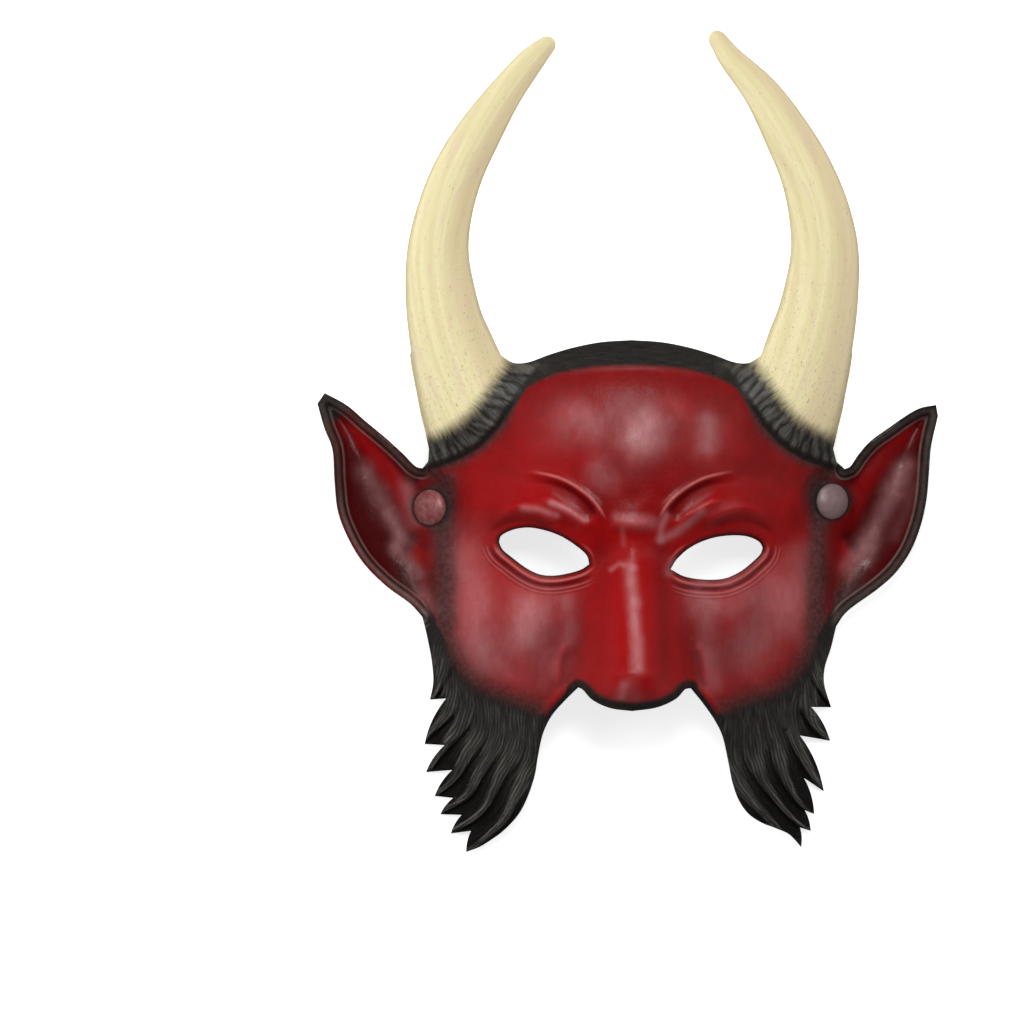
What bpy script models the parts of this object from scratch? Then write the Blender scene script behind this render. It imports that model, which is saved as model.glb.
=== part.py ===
"""A horned half mask, moulded in one piece of skinned foam, with a snap button at each temple.

The mask lies on its back with its face up. It is modelled in metres with +Z up. +Y runs from the
beard tips to the horn tips, and +X to the right of someone who looks down on the face. The origin
is on the surface that the mask lies on, under the middle of its box.

The figure is drawn in millimetres for a mask 350 mm high, from a point between the eyes, and then
scaled to MASK_HEIGHT. The wall and the buttons keep sizes of their own.
"""

import math

import bpy
import bmesh
import numpy as np
from mathutils import Matrix, Vector
from mathutils.geometry import delaunay_2d_cdt

MM = 0.001

# The mask, in millimetres
MASK_HEIGHT = 350.0
FIGURE = MASK_HEIGHT / 350.0
WALL = 4.0
THINNEST_WALL = 2.4
EDGE_WALL_SHARE = 0.55
EDGE_ROUND = 2.0

# The snap buttons, in millimetres
SNAP_CAP_RADIUS = 7.6
SNAP_CAP_RIM = 0.9
SNAP_CAP_DOME = 2.6
SNAP_POST_RADIUS = 2.0
SNAP_HOLE_GAP = 0.3
SNAP_STUD_RADIUS = 5.2
SNAP_STUD_FLANGE = 1.2
SNAP_STUD_NOSE_RADIUS = 3.1
SNAP_STUD_NOSE = 3.0
SNAP_BORE_DEPTH = 2.0
SNAP_SEAT_RADIUS = SNAP_CAP_RADIUS + 0.9
SNAP_SEAT_BLEND = 9.0
FACE_GAP = 0.3

# Steps between mesh points, in millimetres
OUTLINE_STEP = 3.6
FRONT_STEP = 4.6
INSIDE_STEP = 9.6
CARVED_CLEAR = 1.8
NOSE_BOX = (30.0, -66.0, 14.0)
HORN_STEP = 7.5
HORN_ROWS = (-0.94, -0.78, -0.5, -0.18, 0.18, 0.5, 0.78, 0.94)
SEAT_RING_SHARES = (0.55, 1.0)
SEAT_RING_SIDES = 20
HOLE_SIDES = 16

LEFT, RIGHT = -1, 1


def profile(knots, at):
    """A smooth curve of height against place through the knots, level outside them."""
    place, height = np.array(knots, float).T
    slope = np.gradient(height, place)
    at = np.clip(at, place[0], place[-1])
    i = np.clip(np.searchsorted(place, at, side="right") - 1, 0, len(place) - 2)
    span = place[i + 1] - place[i]
    t = (at - place[i]) / span
    return (
        (2 * t**3 - 3 * t**2 + 1) * height[i]
        + (t**3 - 2 * t**2 + t) * span * slope[i]
        + (3 * t**2 - 2 * t**3) * height[i + 1]
        + (t**3 - t**2) * span * slope[i + 1]
    )


def respaced(line, step):
    """The same line with evenly spaced points, about step apart, and both its ends."""
    lengths = np.linalg.norm(np.diff(line[:, :2], axis=0), axis=1)
    along = np.concatenate([[0], np.cumsum(lengths)])
    count = max(1, int(round(along[-1] / step)))
    stops = np.linspace(0, along[-1], count + 1)
    return np.stack([np.interp(stops, along, column) for column in line.T], axis=1)


def smooth(points, step=1.0):
    """A smooth line through a few points, in as many dimensions as they have."""
    points = np.array(points, float)
    gaps = np.linalg.norm(np.diff(points[:, :2], axis=0), axis=1) ** 0.5
    place = np.concatenate([[0], np.cumsum(gaps)])
    fine = np.linspace(0, place[-1], 20 * len(points))
    columns = [profile(np.stack([place, column], axis=1), fine) for column in points.T]
    return respaced(np.stack(columns, axis=1), step)


def ease(t):
    """0 below 0, 1 above 1, and smooth between."""
    t = np.clip(t, 0, 1)
    return t * t * (3 - 2 * t)


def near(x, y, line):
    """For each point: its distance to the line, the share of the line's length there, and its side."""
    starts, steps = line[:-1, :2], np.diff(line[:, :2], axis=0)
    squares = (steps**2).sum(axis=1)
    lengths = np.sqrt(squares)
    along = np.concatenate([[0], np.cumsum(lengths)])
    best = np.full(x.shape, np.inf)
    share, side = np.zeros(x.shape), np.ones(x.shape)
    for start, step, square, length, before in zip(starts, steps, squares, lengths, along):
        rx, ry = x - start[0], y - start[1]
        t = np.clip((rx * step[0] + ry * step[1]) / square, 0, 1)
        apart = (rx - t * step[0]) ** 2 + (ry - t * step[1]) ** 2
        closer = apart < best
        best = np.where(closer, apart, best)
        share = np.where(closer, (before + t * length) / along[-1], share)
        side = np.where(closer, np.where(step[0] * ry - step[1] * rx >= 0, 1, -1), side)
    return np.sqrt(best), share, side


def within(x, y, loop):
    """Which points lie inside a closed loop."""
    inside = np.zeros(x.shape, bool)
    for (ax, ay), (bx, by) in zip(loop, np.roll(loop, -1, axis=0)):
        if ay != by:
            crosses = (ay > y) != (by > y)
            inside ^= crosses & (x < (bx - ax) * (y - ay) / (by - ay) + ax)
    return inside


# Horns from tip to foot: each station is x, y, the height of its middle, and half its width
HORN_STATIONS = {
    LEFT: [(32.6, 220.8, 4.4, 3.2), (36.4, 217.5, 5.0, 4.1), (41.0, 213.0, 6.2, 5.4),
           (53.3, 197.5, 9.2, 7.3), (64.4, 180.5, 12.6, 9.5), (73.5, 163.5, 15.8, 10.8),
           (79.2, 146.6, 18.8, 11.8),
           (82.0, 129.6, 21.6, 13.1), (81.1, 112.6, 24.2, 14.8), (78.0, 95.6, 26.6, 16.6),
           (68.4, 68.0, 29.0, 22.0), (57.0, 47.0, 31.0, 27.0)],
    RIGHT: [(34.7, 223.8, 4.4, 3.2), (37.8, 219.7, 5.0, 4.0), (42.0, 213.5, 6.2, 5.0),
            (55.9, 197.5, 9.2, 7.7), (66.3, 180.5, 12.6, 9.9), (74.8, 163.5, 15.8, 11.4),
            (80.1, 146.6, 18.8, 13.0),
            (82.4, 129.6, 21.6, 14.4), (80.9, 112.6, 24.2, 15.8), (77.5, 95.6, 26.6, 17.5),
            (68.4, 68.0, 29.0, 22.0), (57.0, 47.0, 31.0, 27.0)],
}
HORN_DEPTH_SHARE = 0.92
HORN_TIP_ROUND = 3.6
HORN_FREE_ABOVE = 91.0
EAR_BEYOND = 90.0
COLLAR_LINE = [(40.0, 79.0), (47.6, 69.0), (53.0, 61.0), (58.5, 54.0), (64.5, 48.0), (71.5, 43.6),
               (79.0, 40.4), (87.0, 38.0), (95.0, 36.0)]
COLLAR_STEP = 3.4
COLLAR_FADE = (44.0, 12.0)
COLLAR_SWELL = 15.0

# Half outlines, from the middle of the brow's top edge to the middle of the nose's lower edge
ARCH = [(0.0, 91.6), (13.0, 90.7), (25.0, 88.3), (35.0, 85.3), (44.0, 82.1), (50.0, 82.0), (55.2, 85.2)]
HORN_FOOT = [(94.0, 86.0), (92.8, 78.0), (91.2, 70.0), (89.6, 61.6), (87.5, 53.0), (85.8, 45.5)]
EAR = {
    LEFT: {
        "notch": [(85.8, 45.5), (86.2, 40.2), (88.6, 37.3)],
        "top": [(88.6, 37.3), (91.2, 37.9), (96.7, 43.3), (104.0, 50.0), (112.8, 57.3), (121.0, 64.3),
                (130.3, 69.4)],
        "tip": [(130.3, 69.4), (133.4, 64.8)],
        "outer": [(133.4, 64.8), (130.4, 54.5), (127.0, 45.7), (126.0, 31.8), (124.5, 18.6), (119.7, 6.5),
                  (113.5, -3.4), (104.0, -12.9), (93.6, -20.6), (88.7, -26.0)],
    },
    RIGHT: {
        "notch": [(85.8, 45.5), (87.4, 40.0), (90.9, 37.0)],
        "top": [(90.9, 37.0), (93.0, 37.8), (96.4, 42.6), (101.3, 48.3), (109.1, 54.1), (122.5, 62.7),
                (129.9, 64.3)],
        "tip": [(129.9, 64.3), (130.7, 59.6)],
        "outer": [(130.7, 59.6), (127.6, 46.2), (126.7, 35.6), (125.6, 23.6), (123.1, 12.4), (118.9, 1.8),
                  (112.6, -7.3), (105.6, -13.7), (91.5, -24.3), (87.6, -29.9)],
    },
}
# Locks of the beard's outer edge, from the ear down: the tip, then the notch below it
JAW = {
    LEFT: [(88.7, -26.0), (86.5, -35.7), (84.6, -46.3), (84.2, -54.2), (85.6, -61.4)],
    RIGHT: [(87.6, -29.9), (85.6, -38.9), (82.8, -47.7), (82.5, -54.2), (85.7, -64.7)],
}
LOCKS = {
    LEFT: [((85.6, -61.4), (78.6, -60.8)), ((87.9, -80.4), (79.2, -80.8)), ((87.3, -92.4), (76.0, -91.4)),
           ((83.6, -102.6), (75.6, -103.4)), ((81.2, -110.4), (72.0, -110.6)),
           ((76.7, -118.6), (68.0, -117.4)), ((70.1, -126.4), None)],
    RIGHT: [((85.7, -64.7), (77.0, -64.4)), ((85.3, -79.0), (72.2, -76.6)), ((82.6, -100.6), (74.0, -94.8)),
            ((78.5, -110.2), (74.4, -108.6)), ((77.0, -117.4), (72.4, -116.0)), ((72.9, -124.4), None)],
}
LOCK_BELLY = 0.13
BEARD_INNER = {
    LEFT: [(70.1, -126.4), (64.5, -124.3), (59.5, -121.2), (54.2, -117.2), (47.6, -109.9), (43.6, -101.8),
           (40.8, -93.0), (39.4, -84.5), (37.2, -74.8), (33.5, -67.4), (27.9, -60.9), (22.6, -55.4)],
    RIGHT: [(72.9, -124.4), (67.6, -118.8), (61.8, -116.1), (55.9, -113.8), (50.1, -109.8), (46.0, -104.0),
            (43.1, -95.9), (41.3, -87.1), (38.7, -76.2), (35.4, -69.6), (30.3, -62.3), (25.0, -55.8)],
}
NOSE_EDGE = {
    LEFT: [(22.6, -55.4), (21.0, -56.0), (17.0, -60.2), (9.5, -63.7), (0.0, -65.0)],
    RIGHT: [(25.0, -55.8), (22.6, -56.0), (19.0, -59.6), (11.0, -63.3), (0.0, -65.0)],
}
# Eye holes, from the outer corner over the top to the inner corner, then back below
EYES = {
    LEFT: ([(56.0, 5.9), (55.4, 8.3), (50.9, 10.9), (44.4, 12.1), (37.7, 11.2), (30.2, 8.6), (23.2, 4.2),
            (18.9, 0.2), (18.0, -3.3)],
           [(18.0, -3.3), (21.0, -5.4), (27.2, -7.3), (33.6, -8.2), (39.0, -7.6), (44.5, -5.0), (50.2, -0.8),
            (54.7, 3.0), (56.0, 5.9)]),
    RIGHT: ([(55.7, 3.6), (54.6, 5.7), (50.6, 7.9), (44.5, 8.8), (34.2, 7.7), (24.9, 3.8), (18.9, -1.4),
             (16.4, -5.4)],
            [(16.4, -5.4), (21.8, -8.3), (30.1, -9.8), (39.3, -9.4), (46.3, -6.4), (52.4, -1.6), (55.1, 1.3),
             (55.7, 3.6)]),
}

# The head's height above the surface that it lies on, along its middle and along its sides
MIDDLE_HEIGHT = [(-130, 17), (-112, 26), (-95, 34), (-75, 43), (-55, 50), (-30, 57), (0, 61), (25, 65),
                 (45, 67), (62, 65), (74, 60), (83, 52), (91, 40), (100, 26)]
SIDE_HEIGHT = [(-130, 3.6), (-95, 4.0), (-70, 6), (-45, 12), (-20, 19), (20, 24), (60, 25), (91, 20),
               (100, 16)]
HALF_FACE = 89.0
EAR_SLOPE_SHARE = 0.25

NOSE_RISE = [(-70, 20), (-65, 24), (-61, 29), (-56, 32.6), (-50, 33.4), (-42, 28.6), (-30, 20.4), (-18, 13.2),
             (-8, 7.4), (-4, 4.9), (0, 2.9), (5, 1.4), (11, 0.4), (18, 0)]
NOSE_HALF = [(-70, 28), (-58, 29), (-48, 28.5), (-36, 27), (-20, 23.5), (-8, 19.5), (0, 17),
             (12, 15), (20, 15)]
NOSE_ROUND = [(-60, 2.7), (-48, 2.5), (-20, 2.5), (-6, 2.4), (5, 2.1)]
NOSE_FALL = [(-62, 1.5), (-54, 1.7), (-44, 2.1), (-22, 2.3), (-8, 2.8), (5, 3.2)]
NOSE_MIDDLE = 1.0
NOSE_WALL_SHARE = 1.3

# Swellings and hollows of the face: x, y, the half axes, the rise, and the side or 0 for both
SWELLS = [
    (0, 47, 15, 14, 2.2, RIGHT),
    (0, 16, 10, 7, 1.5, RIGHT),
    (30, 58, 15, 13, 1.6, 0),
    (38, 1, 27, 15, -6.5, 0),
    (46, 21, 25, 10, 5.0, 0),
    (42, -28, 12, 16, 5.0, 0),
    (68, -33, 9, 18, 3.8, 0),
    (56, -30, 5, 17, -1.8, 0),
    (31, -38, 7, 22, -2.0, 0),
    (70, 14, 12, 16, -1.6, 0),
]
# Carved ridges and creases: points, half width, rise
BROW_CREST = [(60, 33), (52, 35.2), (45, 35.6), (36, 34.2), (29, 32), (20.5, 26.8), (15.2, 21.6),
              (10.8, 14.6)]
SOCKET_DROP = 2.8
SOCKET_REACH = 12.0
SOCKET_EDGE = (2.8, 8.0)
BROW_FADES = (0.65, 0.14)
FOLDS = [
    ([(44, 35.6), (36, 34.2), (29, 32), (20.5, 26.8), (15.2, 21.6), (10.8, 14.6)], 1.5, 1.1),
    ([(41, 25), (35, 23.2), (29, 19.8), (23, 16), (17, 10.5)], 2.6, 2.2),
    ([(59, 15.5), (52, 19.4), (46, 20.8), (40, 19.4), (34, 16.4), (28, 12.6)], 2.5, 1.7),
    ([(62, 7.5), (56, 12.6), (48, 15), (40, 14.4), (31, 11)], 1.8, -1.3),
    ([(60, 0), (50, -8), (42, -12.2), (34, -13.6), (26, -12.4), (17, -7.5)], 1.9, -1.4),
    ([(-9, 15.5), (-2, 13.8), (4, 13.6), (10, 15)], 2.8, 1.7),
    ([(-8, -5.5), (-3, -3.4), (2, -3.6), (6, -5)], 1.5, 0.7),
    ([(26.5, -36), (29.6, -41), (31, -48), (30.5, -55)], 1.7, 1.5),
]
TOP_BAND = ([(-46, 70), (-34, 76.5), (-18, 79.8), (0, 80.8), (18, 79.6), (34, 75.5), (46, 69)], 1.6, 1.0)

EAR_ROOT = 80.0
EAR_ROOT_BLEND = 14.0
EAR_BOWL_DEPTH = 9.0
EAR_BOWL_REACH = 15.0
EAR_RIM_RISE = 3.2
EAR_FOLDS = [
    ([(122, 58), (110, 44), (98, 28), (92, 14)], 5.0, 2.6),
    ([(87.5, 10), (87, -2), (86, -14), (85, -26)], 3.4, -1.8),
]
EAR_LEVEL = [(-30, 15), (0, 19), (30, 23), (70, 17)]

LOCK_HALF_WIDTH = 5.2
LOCK_RISE = 2.6
LOCK_SWAY = (1.0, 5.5)
HAIRLINE = [(78, -38), (72, -50), (62, -58), (50, -62), (40, -66)]
EDGE_ROLL = (3.6, 1.5, 1.0)

SNAP_AT = {LEFT: (85.2, 20.6), RIGHT: (85.4, 23.2)}
SNAP_TILT = math.radians(27)


def stroke(x, y, points, half_width, rise, fade=0.25):
    """A ridge, or a crease where rise is negative, along a smooth line, fading towards its ends."""
    apart, share, _ = near(x, y, smooth(points, 2.0))
    ends = ease(share / fade) * ease((1 - share) / fade)
    return rise * ends * np.exp(-((apart / half_width) ** 2))


def head(x, y):
    """The head's smooth form under every feature."""
    middle, side = profile(MIDDLE_HEIGHT, y), profile(SIDE_HEIGHT, y)
    t = np.abs(x) / HALF_FACE
    fall = 0.55 * t**2 + 0.45 * (1 - np.cos(np.pi * np.minimum(t, 1))) / 2
    fall = np.where(t < 1, fall, 1 + EAR_SLOPE_SHARE * (t - 1))
    return middle + (side - middle) * fall


def nose(x, y, inset=0.0):
    """The nose, or with an inset the hollow behind it."""
    half = profile(NOSE_HALF, y) - inset
    t = np.clip(np.abs(x - NOSE_MIDDLE) / half, 0, 1)
    return profile(NOSE_RISE, y) * (1 - t ** profile(NOSE_ROUND, y)) ** profile(NOSE_FALL, y)


def swells(x, y):
    total = np.zeros(x.shape)
    for cx, cy, rx, ry, rise, side in SWELLS:
        across = x - cx if side else np.abs(x) - cx
        total += rise * np.exp(-((across / rx) ** 2) - ((y - cy) / ry) ** 2)
    return total


def below_brow(x, y):
    """How far each point lies below the brow's crest, and how much the crest counts there."""
    apart, share, turned = near(np.abs(x), y, smooth(BROW_CREST, 2.0))
    outer, inner = BROW_FADES
    return np.where(turned > 0, apart, -apart), ease(share / outer) * ease((1 - share) / inner)


def folds(x, y):
    total = stroke(x, y, *TOP_BAND)
    for points, half_width, rise in FOLDS:
        total += stroke(np.abs(x), y, points, half_width, rise)
    inside, ends = below_brow(x, y)
    sharp, soft = SOCKET_EDGE
    edge = ease((inside + 0.5) / (sharp + soft * (1 - ends)))
    hollow = edge * np.exp(-((np.maximum(inside, 0) / SOCKET_REACH) ** 2))
    return total - SOCKET_DROP * ends * hollow


def ear_edge(side):
    """The ear's free edge, from its notch under the horn round the tip to its lobe."""
    ear = EAR[side]
    return np.vstack([smooth(ear["top"], 2.0), smooth(ear["outer"], 2.0)])


def ear_bowl(x, y):
    """How far the cupped ears lie below the head's form."""
    total = np.zeros(x.shape)
    for side in (LEFT, RIGHT):
        out = x * side
        apart, _, _ = near(out, y, ear_edge(side))
        weight = ease((out - EAR_ROOT) / EAR_ROOT_BLEND)
        level = profile(EAR_LEVEL, y) - head(x, y)
        sunk = 1 - (1 - np.clip(apart / EAR_BOWL_REACH, 0, 1)) ** 2
        rim = EAR_RIM_RISE * np.exp(-((apart / 3.0) ** 2))
        total += weight * (level - EAR_BOWL_DEPTH * sunk + rim)
        for points, half_width, rise in EAR_FOLDS:
            total += stroke(out, y, points, half_width, rise)
    return total


def bend(start, control, end, count=14):
    """Points of a curve that leaves start towards control and reaches end from it."""
    t = np.linspace(0, 1, count)[:, None]
    start, control, end = (np.array(p, float) for p in (start, control, end))
    return (1 - t) ** 2 * start + 2 * t * (1 - t) * control + t**2 * end


def lock_lines(side):
    """The middle line of each lock, from the hairline to its tip."""
    roots = smooth(HAIRLINE, 1.0)
    count = len(LOCKS[side])
    lines = []
    for i, (tip, _) in enumerate(LOCKS[side]):
        root = roots[int((len(roots) - 1) * i / (count - 1))]
        reach = np.linalg.norm(np.array(tip) - root)
        control = root + np.array([-0.02, -0.55]) * reach
        lines.append(bend(root, control, tip))
    return lines


def swayed(x, y):
    """The places that the locks' even lines take in the uneven beard."""
    reach, wave = LOCK_SWAY
    return x + reach * np.sin(y / wave + x / 9), y + reach * np.sin(x / wave + 1)


def locks(x, y):
    """The beard's locks, half round and tapering to their tips."""
    x, y = swayed(x, y)
    total = np.zeros(x.shape)
    for side in (LEFT, RIGHT):
        raised = np.zeros(x.shape)
        for line in lock_lines(side):
            apart, share, _ = near(x * side, y, line)
            half = LOCK_HALF_WIDTH * np.clip(1.15 - share, 0.25, 1) * ease(share / 0.3 + 0.35)
            bulge = np.sqrt(np.clip(1 - (apart / half) ** 2, 0, 1))
            raised = np.maximum(raised, LOCK_RISE * bulge * ease((share - 0.08) / 0.5))
        total += np.where(x * side > 0, raised, 0)
    return total


def edge_roll(x, y):
    """The rolled lip along each inner edge of the beard."""
    inset, half_width, rise = EDGE_ROLL
    total = np.zeros(x.shape)
    for side in (LEFT, RIGHT):
        apart, share, _ = near(x * side, y, smooth(BEARD_INNER[side], 2.0))
        fade = ease((share - 0.1) / 0.3)
        total += rise * fade * np.exp(-(((apart - inset) / half_width) ** 2))
    return total


def horn_line(side):
    """The horn's middle line from tip to foot, with the height and the half width at each point."""
    line = smooth(HORN_STATIONS[side], 1.5)
    tip = np.clip(np.linspace(0, len(line) - 1, len(line)) * 1.5 / HORN_TIP_ROUND, 0, 1)
    line[:, 3] *= np.sqrt(1 - (1 - tip) ** 2)
    return line


def horn_stations(side, step):
    """Points down the free horn's middle line, close together at the tip, and the way out to its edge."""
    line = horn_line(side)
    line = line[line[:, 1] > HORN_FREE_ABOVE]
    turn = np.gradient(line[:, :2], axis=0)
    turn /= np.linalg.norm(turn, axis=1)[:, None]
    out = np.stack([-turn[:, 1], turn[:, 0]], axis=1) * line[:, 3:4]
    along = np.concatenate([[0], np.cumsum(np.linalg.norm(np.diff(line[:, :2], axis=0), axis=1))])
    tip = np.array([0, 0.12, 0.45, 1.0]) * HORN_TIP_ROUND
    rest = np.linspace(tip[-1], along[-1], 1 + int(round((along[-1] - tip[-1]) / step)))
    stops = np.concatenate([tip[:-1], rest])
    columns = [np.interp(stops, along, column) for column in np.hstack([line[:, :2], out]).T]
    return np.stack(columns[:2], axis=1), np.stack(columns[2:], axis=1)


def horn_edges(side, step):
    """The horn's inner edge up from the brow and its outer edge down from the tip."""
    middle, out = horn_stations(side, step)
    return (middle - out)[::-1], middle + out


def horn(x, y):
    """The middle height and the half depth of the nearer horn at each point."""
    middle, depth = np.zeros(x.shape), np.zeros(x.shape)
    for side in (LEFT, RIGHT):
        line = horn_line(side)
        apart, share, _ = near(x * side, y, line)
        place = np.linspace(0, 1, len(line))
        half = np.interp(share, place, line[:, 3])
        here = x * side >= 0
        middle = np.where(here, np.interp(share, place, line[:, 2]), middle)
        round_share = np.sqrt(np.clip(1 - (apart / np.maximum(half, 0.5)) ** 2, 0.015, 1))
        depth = np.where(here, HORN_DEPTH_SHARE * np.maximum(half, 0.6) * round_share, depth)
    return middle, depth


def collar_depth(x, y):
    """How far each point lies inside the horn's foot, measured from the collar line."""
    apart, _, side = near(np.abs(x), y, smooth(COLLAR_LINE, 2.0))
    return np.where(side > 0, apart, -apart)


def brow_rim(x):
    """Where the head ends under the horns."""
    return profile([(0, 91.6), (25, 88.3), (44, 80.0), (60, 70.0), (75, 56.0), (92, 36.0)], np.abs(x))


def snap_frame(side):
    """The middle of the seat on the front face, in drawn millimetres, and the seat's outward normal."""
    x, y = SNAP_AT[side]
    normal = Vector((side * math.sin(SNAP_TILT), 0.0, math.cos(SNAP_TILT)))
    at = np.array([side * x]), np.array([y])
    return Vector((side * x, y, float((head(*at) + ear_bowl(*at))[0]))), normal


def snap_plane(x, y, side):
    """The height of the flat seat under a button, and how much it holds at each point."""
    middle, normal = snap_frame(side)
    height = middle.z - ((x - middle.x) * normal.x + (y - middle.y) * normal.y) / normal.z
    apart = np.hypot((x - middle.x) / normal.z, y - middle.y)
    return height, 1 - ease((apart * FIGURE - SNAP_SEAT_RADIUS) / SNAP_SEAT_BLEND)


def snap_circle(side, radius, count, depth=0.0):
    """A circle on the seat, or as far below it as depth, as seen from straight above."""
    middle, normal = snap_frame(side)
    angle = np.linspace(0, 2 * math.pi, count, endpoint=False)
    x = middle.x + (radius * normal.z * np.cos(angle) - depth * normal.x) / FIGURE
    y = middle.y + radius * np.sin(angle) / FIGURE
    return np.stack([x, y], axis=1)


def broad_form(x, y, nose_inset=0.0):
    """The form without its carving, which the inner face follows too."""
    height = head(x, y) + nose(x, y, nose_inset) + swells(x, y) + ear_bowl(x, y)
    for side in (LEFT, RIGHT):
        seat, hold = snap_plane(x, y, side)
        height = height + (seat - height) * hold
    return height


def carved_front(x, y):
    height = broad_form(x, y)
    carving = folds(x, y) + locks(x, y) + edge_roll(x, y)
    for side in (LEFT, RIGHT):
        carving = carving * (1 - snap_plane(x, y, side)[1])
    return height + carving


def wall_in_z(x, y):
    """The wall's upright thickness: more than WALL where the head is steep."""
    along_x = head(x + 0.5, y) - head(x - 0.5, y)
    along_y = head(x, y + 0.5) - head(x, y - 0.5)
    return WALL / FIGURE * np.sqrt(1 + along_x**2 + along_y**2)


def outline(step, horn_step):
    """The mask's outer loop: right half down, then left half up."""
    halves = {}
    for side in (RIGHT, LEFT):
        up, down = horn_edges(side, horn_step)
        pieces = [
            respaced(np.vstack([smooth(ARCH, 1.0), up[:1]]), step),
            up,
            down,
            respaced(np.vstack([down[-1:], smooth(HORN_FOOT, 1.0)]), step),
            respaced(np.array(EAR[side]["notch"]), step * 0.7),
            smooth(EAR[side]["top"], step),
            smooth(EAR[side]["tip"], step),
            smooth(EAR[side]["outer"], step),
            smooth(JAW[side], step),
        ]
        pieces += lock_edges(side, step)
        pieces += [smooth(BEARD_INNER[side], step), smooth(NOSE_EDGE[side], step)]
        halves[side] = np.vstack([piece[:-1] for piece in pieces] + [pieces[-1][-1:]])
    right = halves[RIGHT]
    left = halves[LEFT][1:-1][::-1] * np.array([-1, 1])
    return np.vstack([right, left])[::-1]


def lock_edges(side, step):
    """Each lock's lower edge to its notch, then the next lock's bulging edge to its tip."""
    edges = []
    ends = LOCKS[side]
    for (tip, notch), (next_tip, _) in zip(ends, ends[1:]):
        tip, notch, next_tip = (np.array(p, float) for p in (tip, notch, next_tip))
        across = next_tip - notch
        bulge = (notch + next_tip) / 2 + LOCK_BELLY * np.array([-across[1], across[0]])
        edges.append(respaced(np.stack([tip, notch]), step))
        edges.append(respaced(bend(notch, bulge, next_tip), step))
    return edges


def eye_loop(side, step):
    upper, lower = (smooth(points, step) for points in EYES[side])
    return np.vstack([upper[:-1], lower[:-1]]) * np.array([side, 1])


def loops(step, horn_step):
    return [outline(step, horn_step), eye_loop(LEFT, step), eye_loop(RIGHT, step)]


def post_holes(depth):
    """The rims of the two holes for the snaps' posts, as far below the front as depth."""
    radius = SNAP_POST_RADIUS + SNAP_HOLE_GAP
    return [snap_circle(side, radius, HOLE_SIDES, depth) for side in (LEFT, RIGHT)]


def on_mask(x, y, rims):
    """Which points lie inside the outer loop and outside every hole."""
    holes = np.any([within(x, y, rim) for rim in rims[1:]], axis=0)
    return within(x, y, rims[0]) & ~holes


def edge_distance(x, y, rims):
    return np.min([near(x, y, np.vstack([rim, rim[:1]]))[0] for rim in rims], axis=0)


def faces_of(x, y, rims):
    """The heights of the front and of the inner face at each point, in drawn millimetres."""
    front = carved_front(x, y)
    wall = wall_in_z(x, y)
    rounding = edge_distance(x, y, rims) / (EDGE_ROUND / FIGURE)
    rounded = np.sqrt(1 - (1 - np.clip(rounding, 0, 1)) ** 2)
    trim = wall * (1 - EDGE_WALL_SHARE) * (1 - rounded)
    inner = broad_form(x, y, NOSE_WALL_SHARE * WALL / FIGURE) - wall
    back = np.minimum(inner, front - THINNEST_WALL / FIGURE)
    middle, depth = horn(x, y)
    inside = collar_depth(x, y)
    rise = COLLAR_STEP * ease((np.abs(x) - COLLAR_FADE[0]) / COLLAR_FADE[1])
    step = rise * ease(inside / 3.0 + 0.5)
    swell = ease(inside / COLLAR_SWELL)
    front = front - trim
    horn_front = middle + depth
    above = np.maximum(horn_front - front, rise)
    collared = (inside > -1) & (np.abs(x) < EAR_BEYOND + 0.1 * (y - 40))
    front = np.where(collared, front + step + (above - rise) * swell, front)
    for side in (LEFT, RIGHT):
        seat, hold = snap_plane(x, y, side)
        back = back + (seat - WALL / FIGURE / math.cos(SNAP_TILT) - back) * hold
    free = ease((y - brow_rim(x) + 4) / 14) * (np.abs(x) < EAR_BEYOND + 0.1 * (y - 40))
    front = front + (horn_front - front) * free
    back = back + (middle - depth - back) * free
    return front, back


def points_inside(step, rims, clear):
    """Evenly spread points inside the outer loop, outside the eyes, and clear of every edge."""
    low, high = rims[0].min(axis=0), rims[0].max(axis=0)
    rows = np.arange(low[1], high[1], step * math.sqrt(3) / 2)
    columns = np.arange(low[0], high[0], step)
    grid = [(x + (step / 2 if i % 2 else 0), y) for i, y in enumerate(rows) for x in columns]
    x, y = np.array(grid).T
    keep = on_mask(x, y, rims)
    x, y = x[keep], y[keep]
    keep = edge_distance(x, y, rims) > clear * step
    return np.stack([x[keep], y[keep]], axis=1)


def horn_points(step):
    """Rows of points along each free horn, closer together towards its edges."""
    rows = []
    for side in (LEFT, RIGHT):
        middle, out = horn_stations(side, step)
        rows += [(middle + share * out)[1:] * np.array([side, 1]) for share in HORN_ROWS]
    return np.vstack(rows)


def seat_points():
    """Rings of points round each snap button's hole, all of them on the flat seat."""
    rings = [snap_circle(side, share * SNAP_SEAT_RADIUS, SEAT_RING_SIDES)
             for side in (LEFT, RIGHT) for share in SEAT_RING_SHARES]
    return np.vstack(rings)


def offset_rows(line, shifts, step):
    """Copies of a line shifted sideways, with points about step apart."""
    line = respaced(line, step)
    turn = np.gradient(line, axis=0)
    turn /= np.linalg.norm(turn, axis=1)[:, None]
    sideways = np.stack([-turn[:, 1], turn[:, 0]], axis=1)
    return np.vstack([line + shift * sideways for shift in shifts])


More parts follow.
